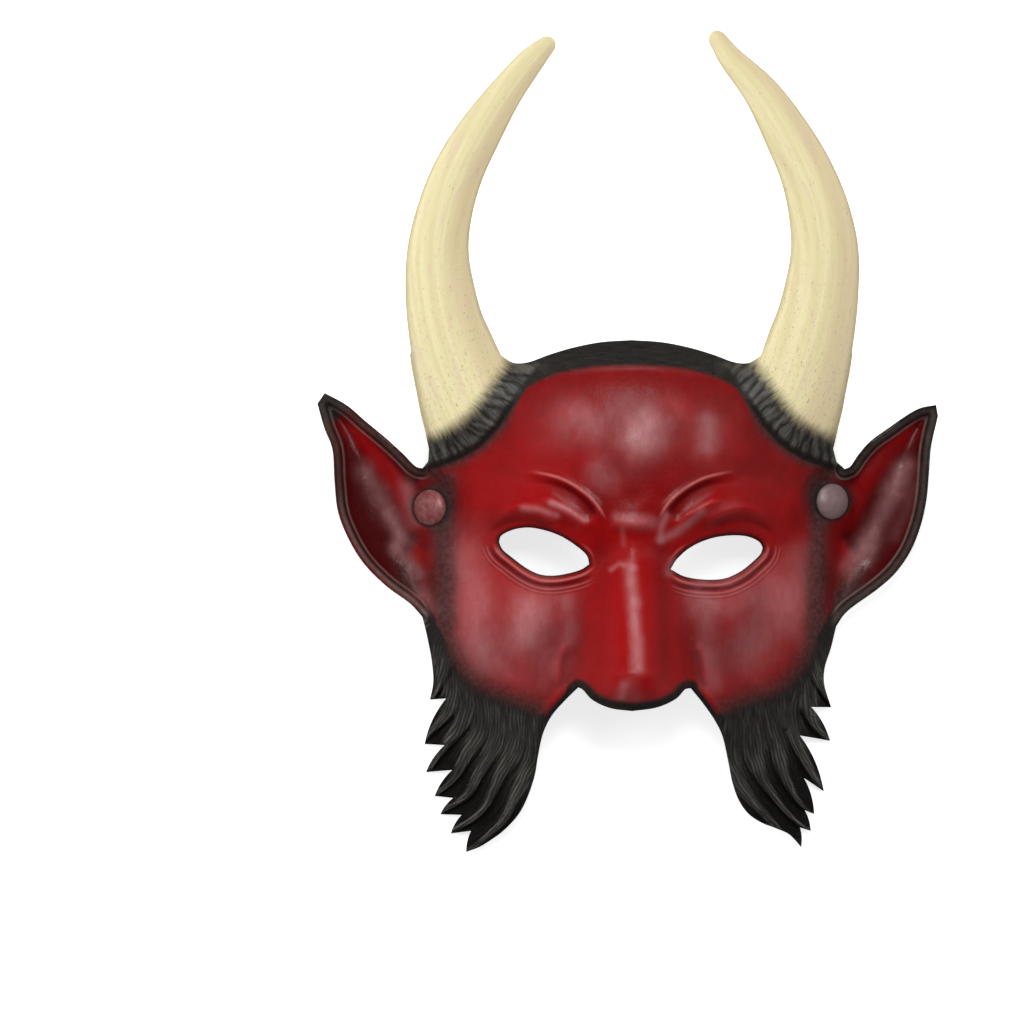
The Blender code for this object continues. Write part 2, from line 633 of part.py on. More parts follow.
def carved_points(step):
    """Points along the crest and the foot of each carved line."""
    rows = []
    for points, half_width, _ in FOLDS + EAR_FOLDS + [TOP_BAND]:
        rows.append(offset_rows(smooth(points), (0, -1.4 * half_width, 1.4 * half_width), step))
    rows.append(offset_rows(smooth(COLLAR_LINE), (-1.2, 1.2), step))
    mirrored = [row * np.array([side, 1]) for side in (LEFT, RIGHT) for row in rows]
    mirrored += [respaced(line[3:-2], step) * np.array([side, 1])
                 for side in (LEFT, RIGHT) for line in lock_lines(side)]
    return np.vstack(mirrored)


def joined(points, more, clear):
    """The points, and those of more that lie further than clear from every point kept so far."""
    kept = list(points)
    for point in more:
        apart = np.hypot(*(np.array(kept) - point).T)
        if apart.min() > clear:
            kept.append(point)
    return np.array(kept)


def sheet(rims, inner):
    """Triangles over the loops' inside that use every loop point and every inner point."""
    points = np.vstack(rims + [inner])
    edges, first = [], 0
    for rim in rims:
        count = len(rim)
        edges += [(first + i, first + (i + 1) % count) for i in range(count)]
        first += count
    found = delaunay_2d_cdt([Vector(p) for p in points], edges, [], 0, 1e-6)
    places, triangles, origin = np.array(found[0]), np.array(found[2]), found[3]
    keep = on_mask(*places[triangles].mean(axis=1).T, rims)
    order = {}
    for new, old in enumerate(origin):
        for index in old:
            order[index] = new
    return places, triangles[keep], [order[i] for i in range(first)], edges


def on_free_horn(points):
    return points[:, 1] > HORN_FREE_ABOVE + 4


def on_ear(points):
    return (np.abs(points[:, 0]) > EAR_ROOT) & (points[:, 1] > -30) & (points[:, 1] < 70)


def by_nose(points):
    half, low, high = NOSE_BOX
    x, y = points.T
    return (np.abs(x) < half) & (y > low) & (y < high)


def nose_points(step, rims):
    """Even columns of points over the nose, one of them along its ridge."""
    half, low, high = NOSE_BOX
    offsets = np.arange(-int(half / step), int(half / step) + 1) * step
    x, y = (axis.ravel() for axis in np.meshgrid(NOSE_MIDDLE + offsets, np.arange(high, low, -step)))
    keep = on_mask(x, y, rims)
    points = np.stack([x[keep], y[keep]], axis=1)
    return points[by_nose(points) & (edge_distance(*points.T, rims) > 0.5 * step)]


def mask_mesh():
    """One closed foam body: the carved front, the inner face, and the wall round every edge."""
    rims = loops(OUTLINE_STEP, HORN_STEP)
    fixed = np.vstack([horn_points(HORN_STEP), seat_points()])
    carved = carved_points(FRONT_STEP)
    x, y = carved.T
    carved = carved[on_mask(x, y, rims) & (edge_distance(x, y, rims) > CARVED_CLEAR)]
    spread = {}
    for step in (FRONT_STEP, INSIDE_STEP):
        points = points_inside(step, rims, 0.5)
        spread[step] = points[~on_free_horn(points) & ~by_nose(points)]
    front = joined(fixed, carved[~on_free_horn(carved)], CARVED_CLEAR)
    front = joined(front, nose_points(FRONT_STEP, rims), 0.55 * FRONT_STEP)
    front = joined(front, spread[FRONT_STEP], 0.62 * FRONT_STEP)
    inside = joined(fixed, front[on_ear(front)], CARVED_CLEAR)
    inside = joined(inside, nose_points(1.4 * FRONT_STEP, rims), 0.5 * FRONT_STEP)
    inside = joined(inside, spread[INSIDE_STEP], 0.62 * FRONT_STEP)

    mesh = bmesh.new()
    rings = []
    for face, inner, depth in ((0, front, 0.0), (1, inside, WALL)):
        places, triangles, ring, edges = sheet(rims + post_holes(depth), inner)
        x, y = places.T
        height = faces_of(x, y, rims)[face]
        made = [mesh.verts.new(Vector(p) * FIGURE) for p in zip(x, y, height)]
        for a, b, c in triangles:
            mesh.faces.new((made[a], made[b], made[c]) if face == 0 else (made[c], made[b], made[a]))
        rings.append([made[i] for i in ring])
    for a, b in edges:
        mesh.faces.new((rings[1][a], rings[1][b], rings[0][b], rings[0][a]))
    bmesh.ops.recalc_face_normals(mesh, faces=mesh.faces)
    return mesh


def material(name, colour, roughness, metallic=0.0):
    made = bpy.data.materials.new(name)
    made.use_nodes = True
    shader = made.node_tree.nodes["Principled BSDF"]
    shader.inputs["Base Color"].default_value = (*colour, 1.0)
    shader.inputs["Roughness"].default_value = roughness
    shader.inputs["Metallic"].default_value = metallic
    return made


def add(name, mesh, finish):
    """An object of this mesh, which is in millimetres from the drawing's origin."""
    data = bpy.data.meshes.new(name)
    mesh.to_mesh(data)
    mesh.free()
    data.materials.append(finish)
    made = bpy.data.objects.new(name, data)
    bpy.context.scene.collection.objects.link(made)
    return made


def turned(outline_points, segments):
    """A closed turned body: radius and height pairs that run from the axis out and back to it."""
    mesh = bmesh.new()
    line = [mesh.verts.new((radius, 0.0, height)) for radius, height in outline_points]
    edges = [mesh.edges.new(pair) for pair in zip(line, line[1:])]
    bmesh.ops.spin(mesh, geom=line + edges, axis=(0, 0, 1), cent=(0, 0, 0), steps=segments,
                   angle=2 * math.pi, use_duplicate=False)
    bmesh.ops.remove_doubles(mesh, verts=mesh.verts, dist=0.001)
    bmesh.ops.recalc_face_normals(mesh, faces=mesh.faces)
    return mesh


def snap_cap(segments=20):
    """A domed cap with a rolled rim, and the post that goes through the wall."""
    foot, rim = FACE_GAP, FACE_GAP + SNAP_CAP_RIM
    steps = np.linspace(0, math.pi / 2, 5)
    dome = [(SNAP_CAP_RADIUS * math.cos(a), rim + SNAP_CAP_DOME * math.sin(a)) for a in steps]
    end = -WALL - SNAP_BORE_DEPTH
    line = [(0, end), (SNAP_POST_RADIUS, end), (SNAP_POST_RADIUS, foot), (SNAP_CAP_RADIUS - 0.5, foot),
            (SNAP_CAP_RADIUS, foot + 0.4)] + dome[:-1] + [(0, rim + SNAP_CAP_DOME)]
    return turned(line, segments)


def snap_stud(segments=16):
    """The half behind the wall: a flange with a bore for the post, and a nose with a flat end."""
    top = -WALL - FACE_GAP
    floor, flange = top - SNAP_BORE_DEPTH, top - SNAP_STUD_FLANGE
    end = flange - SNAP_STUD_NOSE
    bore = SNAP_POST_RADIUS + SNAP_HOLE_GAP
    line = [(0, floor), (bore, floor), (bore, top), (SNAP_STUD_RADIUS, top), (SNAP_STUD_RADIUS, flange),
            (SNAP_STUD_NOSE_RADIUS, flange), (SNAP_STUD_NOSE_RADIUS - 0.4, flange - 1.2),
            (SNAP_STUD_NOSE_RADIUS, end + 0.7), (SNAP_STUD_NOSE_RADIUS - 0.6, end), (0, end)]
    return turned(line, segments)


def seat_turn(side):
    """How a button's own axes are turned and moved, in millimetres from the drawing's origin."""
    middle, normal = snap_frame(side)
    return Matrix.Translation(middle * FIGURE) @ normal.to_track_quat("Z", "Y").to_matrix().to_4x4()


def main():
    for old in list(bpy.data.objects):
        bpy.data.objects.remove(old)
    mask = add("mask", mask_mesh(), material("painted_foam", (0.32, 0.012, 0.016), 0.42))
    metal = material("snap_metal", (0.09, 0.03, 0.03), 0.28, 1.0)
    made = [mask]
    for side, word in ((LEFT, "left"), (RIGHT, "right")):
        for name, body in (("snap_cap", snap_cap()), ("snap_stud", snap_stud())):
            body.transform(seat_turn(side))
            made.append(add(f"{name}_{word}", body, metal))
    places = np.array([v.co for v in mask.data.vertices])
    low, high = places.min(axis=0), places.max(axis=0)
    origin = Vector(((low[0] + high[0]) / 2, (low[1] + high[1]) / 2, low[2]))
    for piece in made:
        piece.data.transform(Matrix.Scale(MM, 4) @ Matrix.Translation(-origin))
        piece.data.shade_smooth()


main()
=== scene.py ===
"""How the horned half mask looks: skinned foam with airbrushed paint, and two snap buttons.

The mask lies face up. Its form is drawn in millimetres from a point between the eyes, from the same
numbers as its solid, and is then laid over the solid's box in metres. Here it gets a mesh fine
enough for strands, flutes and creases, and each point carries what its paint needs to know.
"""

import math

import bmesh
import bpy
import numpy as np
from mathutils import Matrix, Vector
from mathutils.geometry import delaunay_2d_cdt
from mathutils.kdtree import KDTree


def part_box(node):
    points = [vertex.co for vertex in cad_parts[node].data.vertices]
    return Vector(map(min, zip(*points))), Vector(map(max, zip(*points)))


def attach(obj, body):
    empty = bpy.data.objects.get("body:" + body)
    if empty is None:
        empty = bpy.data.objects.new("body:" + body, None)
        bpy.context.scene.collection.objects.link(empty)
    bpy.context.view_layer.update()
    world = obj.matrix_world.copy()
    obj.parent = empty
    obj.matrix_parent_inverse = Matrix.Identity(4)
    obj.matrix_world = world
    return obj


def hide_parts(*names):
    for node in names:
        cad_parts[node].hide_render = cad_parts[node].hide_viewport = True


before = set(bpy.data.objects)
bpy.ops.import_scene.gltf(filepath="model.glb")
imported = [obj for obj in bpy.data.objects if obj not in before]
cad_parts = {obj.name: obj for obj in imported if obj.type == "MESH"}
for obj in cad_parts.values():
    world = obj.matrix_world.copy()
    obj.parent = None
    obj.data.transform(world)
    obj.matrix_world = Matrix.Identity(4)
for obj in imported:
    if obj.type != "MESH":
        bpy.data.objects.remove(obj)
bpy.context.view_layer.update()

MM = 0.001

# Walls and snap buttons, in millimetres
WALL = 4.0
THINNEST_WALL = 2.4
EDGE_WALL_SHARE = 0.55
EDGE_ROUND = 2.0
SNAP_CAP_RADIUS = 7.6
SNAP_CAP_RIM = 0.9
SNAP_CAP_DOME = 2.6
SNAP_POST_RADIUS = 2.0
SNAP_HOLE_GAP = 0.3
SNAP_BORE_DEPTH = 2.0
SNAP_SEAT_RADIUS = SNAP_CAP_RADIUS + 0.9
SNAP_SEAT_BLEND = 9.0
FACE_GAP = 0.3

LEFT, RIGHT = -1, 1


def profile(knots, at):
    """A smooth curve of height against place through the knots, level outside them."""
    place, height = np.array(knots, float).T
    slope = np.gradient(height, place)
    at = np.clip(at, place[0], place[-1])
    i = np.clip(np.searchsorted(place, at, side="right") - 1, 0, len(place) - 2)
    span = place[i + 1] - place[i]
    t = (at - place[i]) / span
    return (
        (2 * t**3 - 3 * t**2 + 1) * height[i]
        + (t**3 - 2 * t**2 + t) * span * slope[i]
        + (3 * t**2 - 2 * t**3) * height[i + 1]
        + (t**3 - t**2) * span * slope[i + 1]
    )


def respaced(line, step):
    """The same line with evenly spaced points, about step apart, and both its ends."""
    lengths = np.linalg.norm(np.diff(line[:, :2], axis=0), axis=1)
    along = np.concatenate([[0], np.cumsum(lengths)])
    count = max(1, int(round(along[-1] / step)))
    stops = np.linspace(0, along[-1], count + 1)
    return np.stack([np.interp(stops, along, column) for column in line.T], axis=1)


def smooth(points, step=1.0):
    """A smooth line through a few points, in as many dimensions as they have."""
    points = np.array(points, float)
    gaps = np.linalg.norm(np.diff(points[:, :2], axis=0), axis=1) ** 0.5
    place = np.concatenate([[0], np.cumsum(gaps)])
    fine = np.linspace(0, place[-1], 20 * len(points))
    columns = [profile(np.stack([place, column], axis=1), fine) for column in points.T]
    return respaced(np.stack(columns, axis=1), step)


def ease(t):
    """0 below 0, 1 above 1, and smooth between."""
    t = np.clip(t, 0, 1)
    return t * t * (3 - 2 * t)


def near(x, y, line):
    """For each point: its distance to the line, the share of the line's length there, and its side."""
    starts, steps = line[:-1, :2], np.diff(line[:, :2], axis=0)
    squares = (steps**2).sum(axis=1)
    lengths = np.sqrt(squares)
    along = np.concatenate([[0], np.cumsum(lengths)])
    best = np.full(x.shape, np.inf)
    share, side = np.zeros(x.shape), np.ones(x.shape)
    for start, step, square, length, before in zip(starts, steps, squares, lengths, along):
        rx, ry = x - start[0], y - start[1]
        t = np.clip((rx * step[0] + ry * step[1]) / square, 0, 1)
        apart = (rx - t * step[0]) ** 2 + (ry - t * step[1]) ** 2
        closer = apart < best
        best = np.where(closer, apart, best)
        share = np.where(closer, (before + t * length) / along[-1], share)
        side = np.where(closer, np.where(step[0] * ry - step[1] * rx >= 0, 1, -1), side)
    return np.sqrt(best), share, side


def within(x, y, loop):
    """Which points lie inside a closed loop."""
    inside = np.zeros(x.shape, bool)
    for (ax, ay), (bx, by) in zip(loop, np.roll(loop, -1, axis=0)):
        if ay != by:
            crosses = (ay > y) != (by > y)
            inside ^= crosses & (x < (bx - ax) * (y - ay) / (by - ay) + ax)
    return inside


# Horns from tip to foot: each station is x, y, the height of its middle, and half its width
HORN_STATIONS = {
    LEFT: [(32.6, 220.8, 4.4, 3.2), (36.4, 217.5, 5.0, 4.1), (41.0, 213.0, 6.2, 5.4),
           (53.3, 197.5, 9.2, 7.3), (64.4, 180.5, 12.6, 9.5), (73.5, 163.5, 15.8, 10.8),
           (79.2, 146.6, 18.8, 11.8),
           (82.0, 129.6, 21.6, 13.1), (81.1, 112.6, 24.2, 14.8), (78.0, 95.6, 26.6, 16.6),
           (68.4, 68.0, 29.0, 22.0), (57.0, 47.0, 31.0, 27.0)],
    RIGHT: [(34.7, 223.8, 4.4, 3.2), (37.8, 219.7, 5.0, 4.0), (42.0, 213.5, 6.2, 5.0),
            (55.9, 197.5, 9.2, 7.7), (66.3, 180.5, 12.6, 9.9), (74.8, 163.5, 15.8, 11.4),
            (80.1, 146.6, 18.8, 13.0),
            (82.4, 129.6, 21.6, 14.4), (80.9, 112.6, 24.2, 15.8), (77.5, 95.6, 26.6, 17.5),
            (68.4, 68.0, 29.0, 22.0), (57.0, 47.0, 31.0, 27.0)],
}
HORN_DEPTH_SHARE = 0.92
HORN_TIP_ROUND = 3.6
HORN_LINE_STEP = 0.6
HORN_FREE_ABOVE = 91.0
EAR_BEYOND = 90.0
COLLAR_LINE = [(40.0, 79.0), (47.6, 69.0), (53.0, 61.0), (58.5, 54.0), (64.5, 48.0), (71.5, 43.6),
               (79.0, 40.4), (87.0, 38.0), (95.0, 36.0)]
COLLAR_STEP = 3.4
COLLAR_FADE = (44.0, 12.0)
COLLAR_SWELL = 15.0

# Half outlines, from the middle of the brow's top edge to the middle of the nose's lower edge
ARCH = [(0.0, 91.6), (13.0, 90.7), (25.0, 88.3), (35.0, 85.3), (44.0, 82.1), (50.0, 82.0), (55.2, 85.2)]
HORN_FOOT = [(94.0, 86.0), (92.8, 78.0), (91.2, 70.0), (89.6, 61.6), (87.5, 53.0), (85.8, 45.5)]
EAR = {
    LEFT: {
        "notch": [(85.8, 45.5), (86.2, 40.2), (88.6, 37.3)],
        "top": [(88.6, 37.3), (91.2, 37.9), (96.7, 43.3), (104.0, 50.0), (112.8, 57.3), (121.0, 64.3),
                (130.3, 69.4)],
        "tip": [(130.3, 69.4), (133.4, 64.8)],
        "outer": [(133.4, 64.8), (130.4, 54.5), (127.0, 45.7), (126.0, 31.8), (124.5, 18.6), (119.7, 6.5),
                  (113.5, -3.4), (104.0, -12.9), (93.6, -20.6), (88.7, -26.0)],
    },
    RIGHT: {
        "notch": [(85.8, 45.5), (87.4, 40.0), (90.9, 37.0)],
        "top": [(90.9, 37.0), (93.0, 37.8), (96.4, 42.6), (101.3, 48.3), (109.1, 54.1), (122.5, 62.7),
                (129.9, 64.3)],
        "tip": [(129.9, 64.3), (130.7, 59.6)],
        "outer": [(130.7, 59.6), (127.6, 46.2), (126.7, 35.6), (125.6, 23.6), (123.1, 12.4), (118.9, 1.8),
                  (112.6, -7.3), (105.6, -13.7), (91.5, -24.3), (87.6, -29.9)],
    },
}
# Locks of the beard's outer edge, from the ear down: the tip, then the notch below it
JAW = {
    LEFT: [(88.7, -26.0), (86.5, -35.7), (84.6, -46.3), (84.2, -54.2), (85.6, -61.4)],
    RIGHT: [(87.6, -29.9), (85.6, -38.9), (82.8, -47.7), (82.5, -54.2), (85.7, -64.7)],
}
LOCKS = {
    LEFT: [((85.6, -61.4), (78.6, -60.8)), ((87.9, -80.4), (79.2, -80.8)), ((87.3, -92.4), (76.0, -91.4)),
           ((83.6, -102.6), (75.6, -103.4)), ((81.2, -110.4), (72.0, -110.6)),
           ((76.7, -118.6), (68.0, -117.4)), ((70.1, -126.4), None)],
    RIGHT: [((85.7, -64.7), (77.0, -64.4)), ((85.3, -79.0), (72.2, -76.6)), ((82.6, -100.6), (74.0, -94.8)),
            ((78.5, -110.2), (74.4, -108.6)), ((77.0, -117.4), (72.4, -116.0)), ((72.9, -124.4), None)],
}
LOCK_BELLY = 0.13
BEARD_INNER = {
    LEFT: [(70.1, -126.4), (64.5, -124.3), (59.5, -121.2), (54.2, -117.2), (47.6, -109.9), (43.6, -101.8),
           (40.8, -93.0), (39.4, -84.5), (37.2, -74.8), (33.5, -67.4), (27.9, -60.9), (22.6, -55.4)],
    RIGHT: [(72.9, -124.4), (67.6, -118.8), (61.8, -116.1), (55.9, -113.8), (50.1, -109.8), (46.0, -104.0),
            (43.1, -95.9), (41.3, -87.1), (38.7, -76.2), (35.4, -69.6), (30.3, -62.3), (25.0, -55.8)],
}
NOSE_EDGE = {
    LEFT: [(22.6, -55.4), (21.0, -56.0), (17.0, -60.2), (9.5, -63.7), (0.0, -65.0)],
    RIGHT: [(25.0, -55.8), (22.6, -56.0), (19.0, -59.6), (11.0, -63.3), (0.0, -65.0)],
}
# Eye holes, from the outer corner over the top to the inner corner, then back below
EYES = {
    LEFT: ([(56.0, 5.9), (55.4, 8.3), (50.9, 10.9), (44.4, 12.1), (37.7, 11.2), (30.2, 8.6), (23.2, 4.2),
            (18.9, 0.2), (18.0, -3.3)],
           [(18.0, -3.3), (21.0, -5.4), (27.2, -7.3), (33.6, -8.2), (39.0, -7.6), (44.5, -5.0), (50.2, -0.8),
            (54.7, 3.0), (56.0, 5.9)]),
    RIGHT: ([(55.7, 3.6), (54.6, 5.7), (50.6, 7.9), (44.5, 8.8), (34.2, 7.7), (24.9, 3.8), (18.9, -1.4),
             (16.4, -5.4)],
            [(16.4, -5.4), (21.8, -8.3), (30.1, -9.8), (39.3, -9.4), (46.3, -6.4), (52.4, -1.6), (55.1, 1.3),
             (55.7, 3.6)]),
}

# The head's height above the surface that it lies on, along its middle and along its sides
MIDDLE_HEIGHT = [(-130, 17), (-112, 26), (-95, 34), (-75, 43), (-55, 50), (-30, 57), (0, 61), (25, 65),
                 (45, 67), (62, 65), (74, 60), (83, 52), (91, 40), (100, 26)]
SIDE_HEIGHT = [(-130, 3.6), (-95, 4.0), (-70, 6), (-45, 12), (-20, 19), (20, 24), (60, 25), (91, 20),
               (100, 16)]
HALF_FACE = 89.0
EAR_SLOPE_SHARE = 0.25

NOSE_RISE = [(-70, 20), (-65, 24), (-61, 29), (-56, 32.6), (-50, 33.4), (-42, 28.6), (-30, 20.4), (-18, 13.2),
             (-8, 7.4), (-4, 4.9), (0, 2.9), (5, 1.4), (11, 0.4), (18, 0)]
NOSE_HALF = [(-70, 28), (-58, 29), (-48, 28.5), (-36, 27), (-20, 23.5), (-8, 19.5), (0, 17),
             (12, 15), (20, 15)]
NOSE_ROUND = [(-60, 2.7), (-48, 2.5), (-20, 2.5), (-6, 2.4), (5, 2.1)]
NOSE_FALL = [(-62, 1.5), (-54, 1.7), (-44, 2.1), (-22, 2.3), (-8, 2.8), (5, 3.2)]
NOSE_MIDDLE = 1.0
NOSE_WALL_SHARE = 1.3

# Swellings and hollows of the face: x, y, the half axes, the rise, and the side or 0 for both
SWELLS = [
    (0, 47, 15, 14, 2.2, RIGHT),
    (0, 16, 10, 7, 1.5, RIGHT),
    (30, 58, 15, 13, 1.6, 0),
    (38, 1, 27, 15, -6.5, 0),
    (46, 21, 25, 10, 5.0, 0),
    (42, -28, 12, 16, 5.0, 0),
    (68, -33, 9, 18, 3.8, 0),
    (56, -30, 5, 17, -1.8, 0),
    (31, -38, 7, 22, -2.0, 0),
    (70, 14, 12, 16, -1.6, 0),
]
# Carved ridges and creases: points, half width, rise
BROW_CREST = [(60, 33), (52, 35.2), (45, 35.6), (36, 34.2), (29, 32), (20.5, 26.8), (15.2, 21.6),
              (10.8, 14.6)]
SOCKET_DROP = 2.8
SOCKET_REACH = 12.0
SOCKET_EDGE = (2.8, 8.0)
BROW_FADES = (0.65, 0.14)
FOLDS = [
    ([(44, 35.6), (36, 34.2), (29, 32), (20.5, 26.8), (15.2, 21.6), (10.8, 14.6)], 1.5, 1.1),
    ([(41, 25), (35, 23.2), (29, 19.8), (23, 16), (17, 10.5)], 2.6, 2.2),
    ([(59, 15.5), (52, 19.4), (46, 20.8), (40, 19.4), (34, 16.4), (28, 12.6)], 2.5, 1.7),
    ([(62, 7.5), (56, 12.6), (48, 15), (40, 14.4), (31, 11)], 1.8, -1.3),
    ([(60, 0), (50, -8), (42, -12.2), (34, -13.6), (26, -12.4), (17, -7.5)], 1.9, -1.4),
    ([(-9, 15.5), (-2, 13.8), (4, 13.6), (10, 15)], 2.8, 1.7),
    ([(-8, -5.5), (-3, -3.4), (2, -3.6), (6, -5)], 1.5, 0.7),
    ([(26.5, -36), (29.6, -41), (31, -48), (30.5, -55)], 1.7, 1.5),
]
TOP_BAND = ([(-46, 70), (-34, 76.5), (-18, 79.8), (0, 80.8), (18, 79.6), (34, 75.5), (46, 69)], 1.6, 1.0)

EAR_ROOT = 80.0
EAR_ROOT_BLEND = 14.0
EAR_BOWL_DEPTH = 9.0
EAR_BOWL_REACH = 15.0
EAR_RIM_RISE = 3.2
EAR_FOLDS = [
    ([(122, 58), (110, 44), (98, 28), (92, 14)], 5.0, 2.6),
    ([(87.5, 10), (87, -2), (86, -14), (85, -26)], 3.4, -1.8),
]
EAR_LEVEL = [(-30, 15), (0, 19), (30, 23), (70, 17)]

LOCK_HALF_WIDTH = 5.2
LOCK_RISE = 2.6
LOCK_SWAY = (1.0, 5.5)
HAIRLINE = [(78, -38), (72, -50), (62, -58), (50, -62), (40, -66)]
EDGE_ROLL = (3.6, 1.5, 1.0)

SNAP_AT = {LEFT: (85.2, 20.6), RIGHT: (85.4, 23.2)}
SNAP_TILT = math.radians(27)


def stroke(x, y, points, half_width, rise, fade=0.25):
    """A ridge, or a crease where rise is negative, along a smooth line, fading towards its ends."""
    apart, share, _ = near(x, y, smooth(points, 2.0))
    ends = ease(share / fade) * ease((1 - share) / fade)
    return rise * ends * np.exp(-((apart / half_width) ** 2))


def head(x, y):
    """The head's smooth form under every feature."""
    middle, side = profile(MIDDLE_HEIGHT, y), profile(SIDE_HEIGHT, y)
    t = np.abs(x) / HALF_FACE
    fall = 0.55 * t**2 + 0.45 * (1 - np.cos(np.pi * np.minimum(t, 1))) / 2
    fall = np.where(t < 1, fall, 1 + EAR_SLOPE_SHARE * (t - 1))
    return middle + (side - middle) * fall


def nose(x, y, inset=0.0):
    """The nose, or with an inset the hollow behind it."""
    half = profile(NOSE_HALF, y) - inset
    t = np.clip(np.abs(x - NOSE_MIDDLE) / half, 0, 1)
    return profile(NOSE_RISE, y) * (1 - t ** profile(NOSE_ROUND, y)) ** profile(NOSE_FALL, y)


def swells(x, y):
    """The rise of every swelling and hollow at each point."""
    total = np.zeros(x.shape)
    for cx, cy, rx, ry, rise, side in SWELLS:
        across = x - cx if side else np.abs(x) - cx
        total += rise * np.exp(-((across / rx) ** 2) - ((y - cy) / ry) ** 2)
    return total


def below_brow(x, y):
    """How far each point lies below the brow's crest, and how much the crest counts there."""
    apart, share, turned = near(np.abs(x), y, smooth(BROW_CREST, 2.0))
    outer, inner = BROW_FADES
    return np.where(turned > 0, apart, -apart), ease(share / outer) * ease((1 - share) / inner)


def folds(x, y):
    """The rise of the brow's crest and of every carved fold at each point."""
    total = stroke(x, y, *TOP_BAND)
    for points, half_width, rise in FOLDS:
        total += stroke(np.abs(x), y, points, half_width, rise)
    inside, ends = below_brow(x, y)
    sharp, soft = SOCKET_EDGE
    edge = ease((inside + 0.5) / (sharp + soft * (1 - ends)))
    hollow = edge * np.exp(-((np.maximum(inside, 0) / SOCKET_REACH) ** 2))
    return total - SOCKET_DROP * ends * hollow


def ear_edge(side):
    """The ear's free edge, from its notch under the horn round the tip to its lobe."""
    ear = EAR[side]
    return np.vstack([smooth(ear["top"], 2.0), smooth(ear["outer"], 2.0)])


def ear_bowl(x, y):
    """How far the cupped ears lie below the head's form."""
    total = np.zeros(x.shape)
    for side in (LEFT, RIGHT):
        out = x * side
        apart, _, _ = near(out, y, ear_edge(side))
        weight = ease((out - EAR_ROOT) / EAR_ROOT_BLEND)
        level = profile(EAR_LEVEL, y) - head(x, y)
        sunk = 1 - (1 - np.clip(apart / EAR_BOWL_REACH, 0, 1)) ** 2
        rim = EAR_RIM_RISE * np.exp(-((apart / 3.0) ** 2))
        total += weight * (level - EAR_BOWL_DEPTH * sunk + rim)
        for points, half_width, rise in EAR_FOLDS:
            total += stroke(out, y, points, half_width, rise)
    return total


def bend(start, control, end, count=14):
    """Points of a curve that leaves start towards control and reaches end from it."""
    t = np.linspace(0, 1, count)[:, None]
    start, control, end = (np.array(p, float) for p in (start, control, end))
    return (1 - t) ** 2 * start + 2 * t * (1 - t) * control + t**2 * end


def lock_lines(side):
    """The middle line of each lock, from the hairline to its tip."""
    roots = smooth(HAIRLINE, 1.0)
    count = len(LOCKS[side])
    lines = []
    for i, (tip, _) in enumerate(LOCKS[side]):
        root = roots[int((len(roots) - 1) * i / (count - 1))]
        reach = np.linalg.norm(np.array(tip) - root)
        control = root + np.array([-0.02, -0.55]) * reach
        lines.append(bend(root, control, tip))
    return lines


def swayed(x, y):
    """The places that the locks' even lines take in the uneven beard."""
    reach, wave = LOCK_SWAY
    return x + reach * np.sin(y / wave + x / 9), y + reach * np.sin(x / wave + 1)


def locks(x, y):
    """The beard's locks, half round and tapering to their tips."""
    x, y = swayed(x, y)
    total = np.zeros(x.shape)
    for side in (LEFT, RIGHT):
        raised = np.zeros(x.shape)
        for line in lock_lines(side):
            apart, share, _ = near(x * side, y, line)
            half = LOCK_HALF_WIDTH * np.clip(1.15 - share, 0.25, 1) * ease(share / 0.3 + 0.35)
            bulge = np.sqrt(np.clip(1 - (apart / half) ** 2, 0, 1))
            raised = np.maximum(raised, LOCK_RISE * bulge * ease((share - 0.08) / 0.5))
        total += np.where(x * side > 0, raised, 0)
    return total


def edge_roll(x, y):
    """The rolled lip along each inner edge of the beard."""
    inset, half_width, rise = EDGE_ROLL
    total = np.zeros(x.shape)
    for side in (LEFT, RIGHT):
        apart, share, _ = near(x * side, y, smooth(BEARD_INNER[side], 2.0))
        fade = ease((share - 0.1) / 0.3)
        total += rise * fade * np.exp(-(((apart - inset) / half_width) ** 2))
    return total


def horn_line(side):
    """The horn's middle line from tip to foot, with the height and the half width at each point."""
    line = smooth(HORN_STATIONS[side], HORN_LINE_STEP)
    tip = np.clip(np.linspace(0, len(line) - 1, len(line)) * HORN_LINE_STEP / HORN_TIP_ROUND, 0, 1)
    line[:, 3] *= np.sqrt(1 - (1 - tip) ** 2)
    return line


def horn_stations(side, step):
    """Points down the free horn's middle line, close together at the tip, and the way out to its edge."""
    line = horn_line(side)
    line = line[line[:, 1] > HORN_FREE_ABOVE]
    turn = np.gradient(line[:, :2], axis=0)
    turn /= np.linalg.norm(turn, axis=1)[:, None]
    out = np.stack([-turn[:, 1], turn[:, 0]], axis=1) * line[:, 3:4]
    along = np.concatenate([[0], np.cumsum(np.linalg.norm(np.diff(line[:, :2], axis=0), axis=1))])
    tip = np.array([0, 0.03, 0.12, 0.27, 0.45, 0.7, 1.0]) * HORN_TIP_ROUND
    rest = np.linspace(tip[-1], along[-1], 1 + int(round((along[-1] - tip[-1]) / step)))
    stops = np.concatenate([tip[:-1], rest])
    columns = [np.interp(stops, along, column) for column in np.hstack([line[:, :2], out]).T]
    return np.stack(columns[:2], axis=1), np.stack(columns[2:], axis=1)


def horn_edges(side, step):
    """The horn's inner edge up from the brow and its outer edge down from the tip."""
    middle, out = horn_stations(side, step)
    return (middle - out)[::-1], middle + out


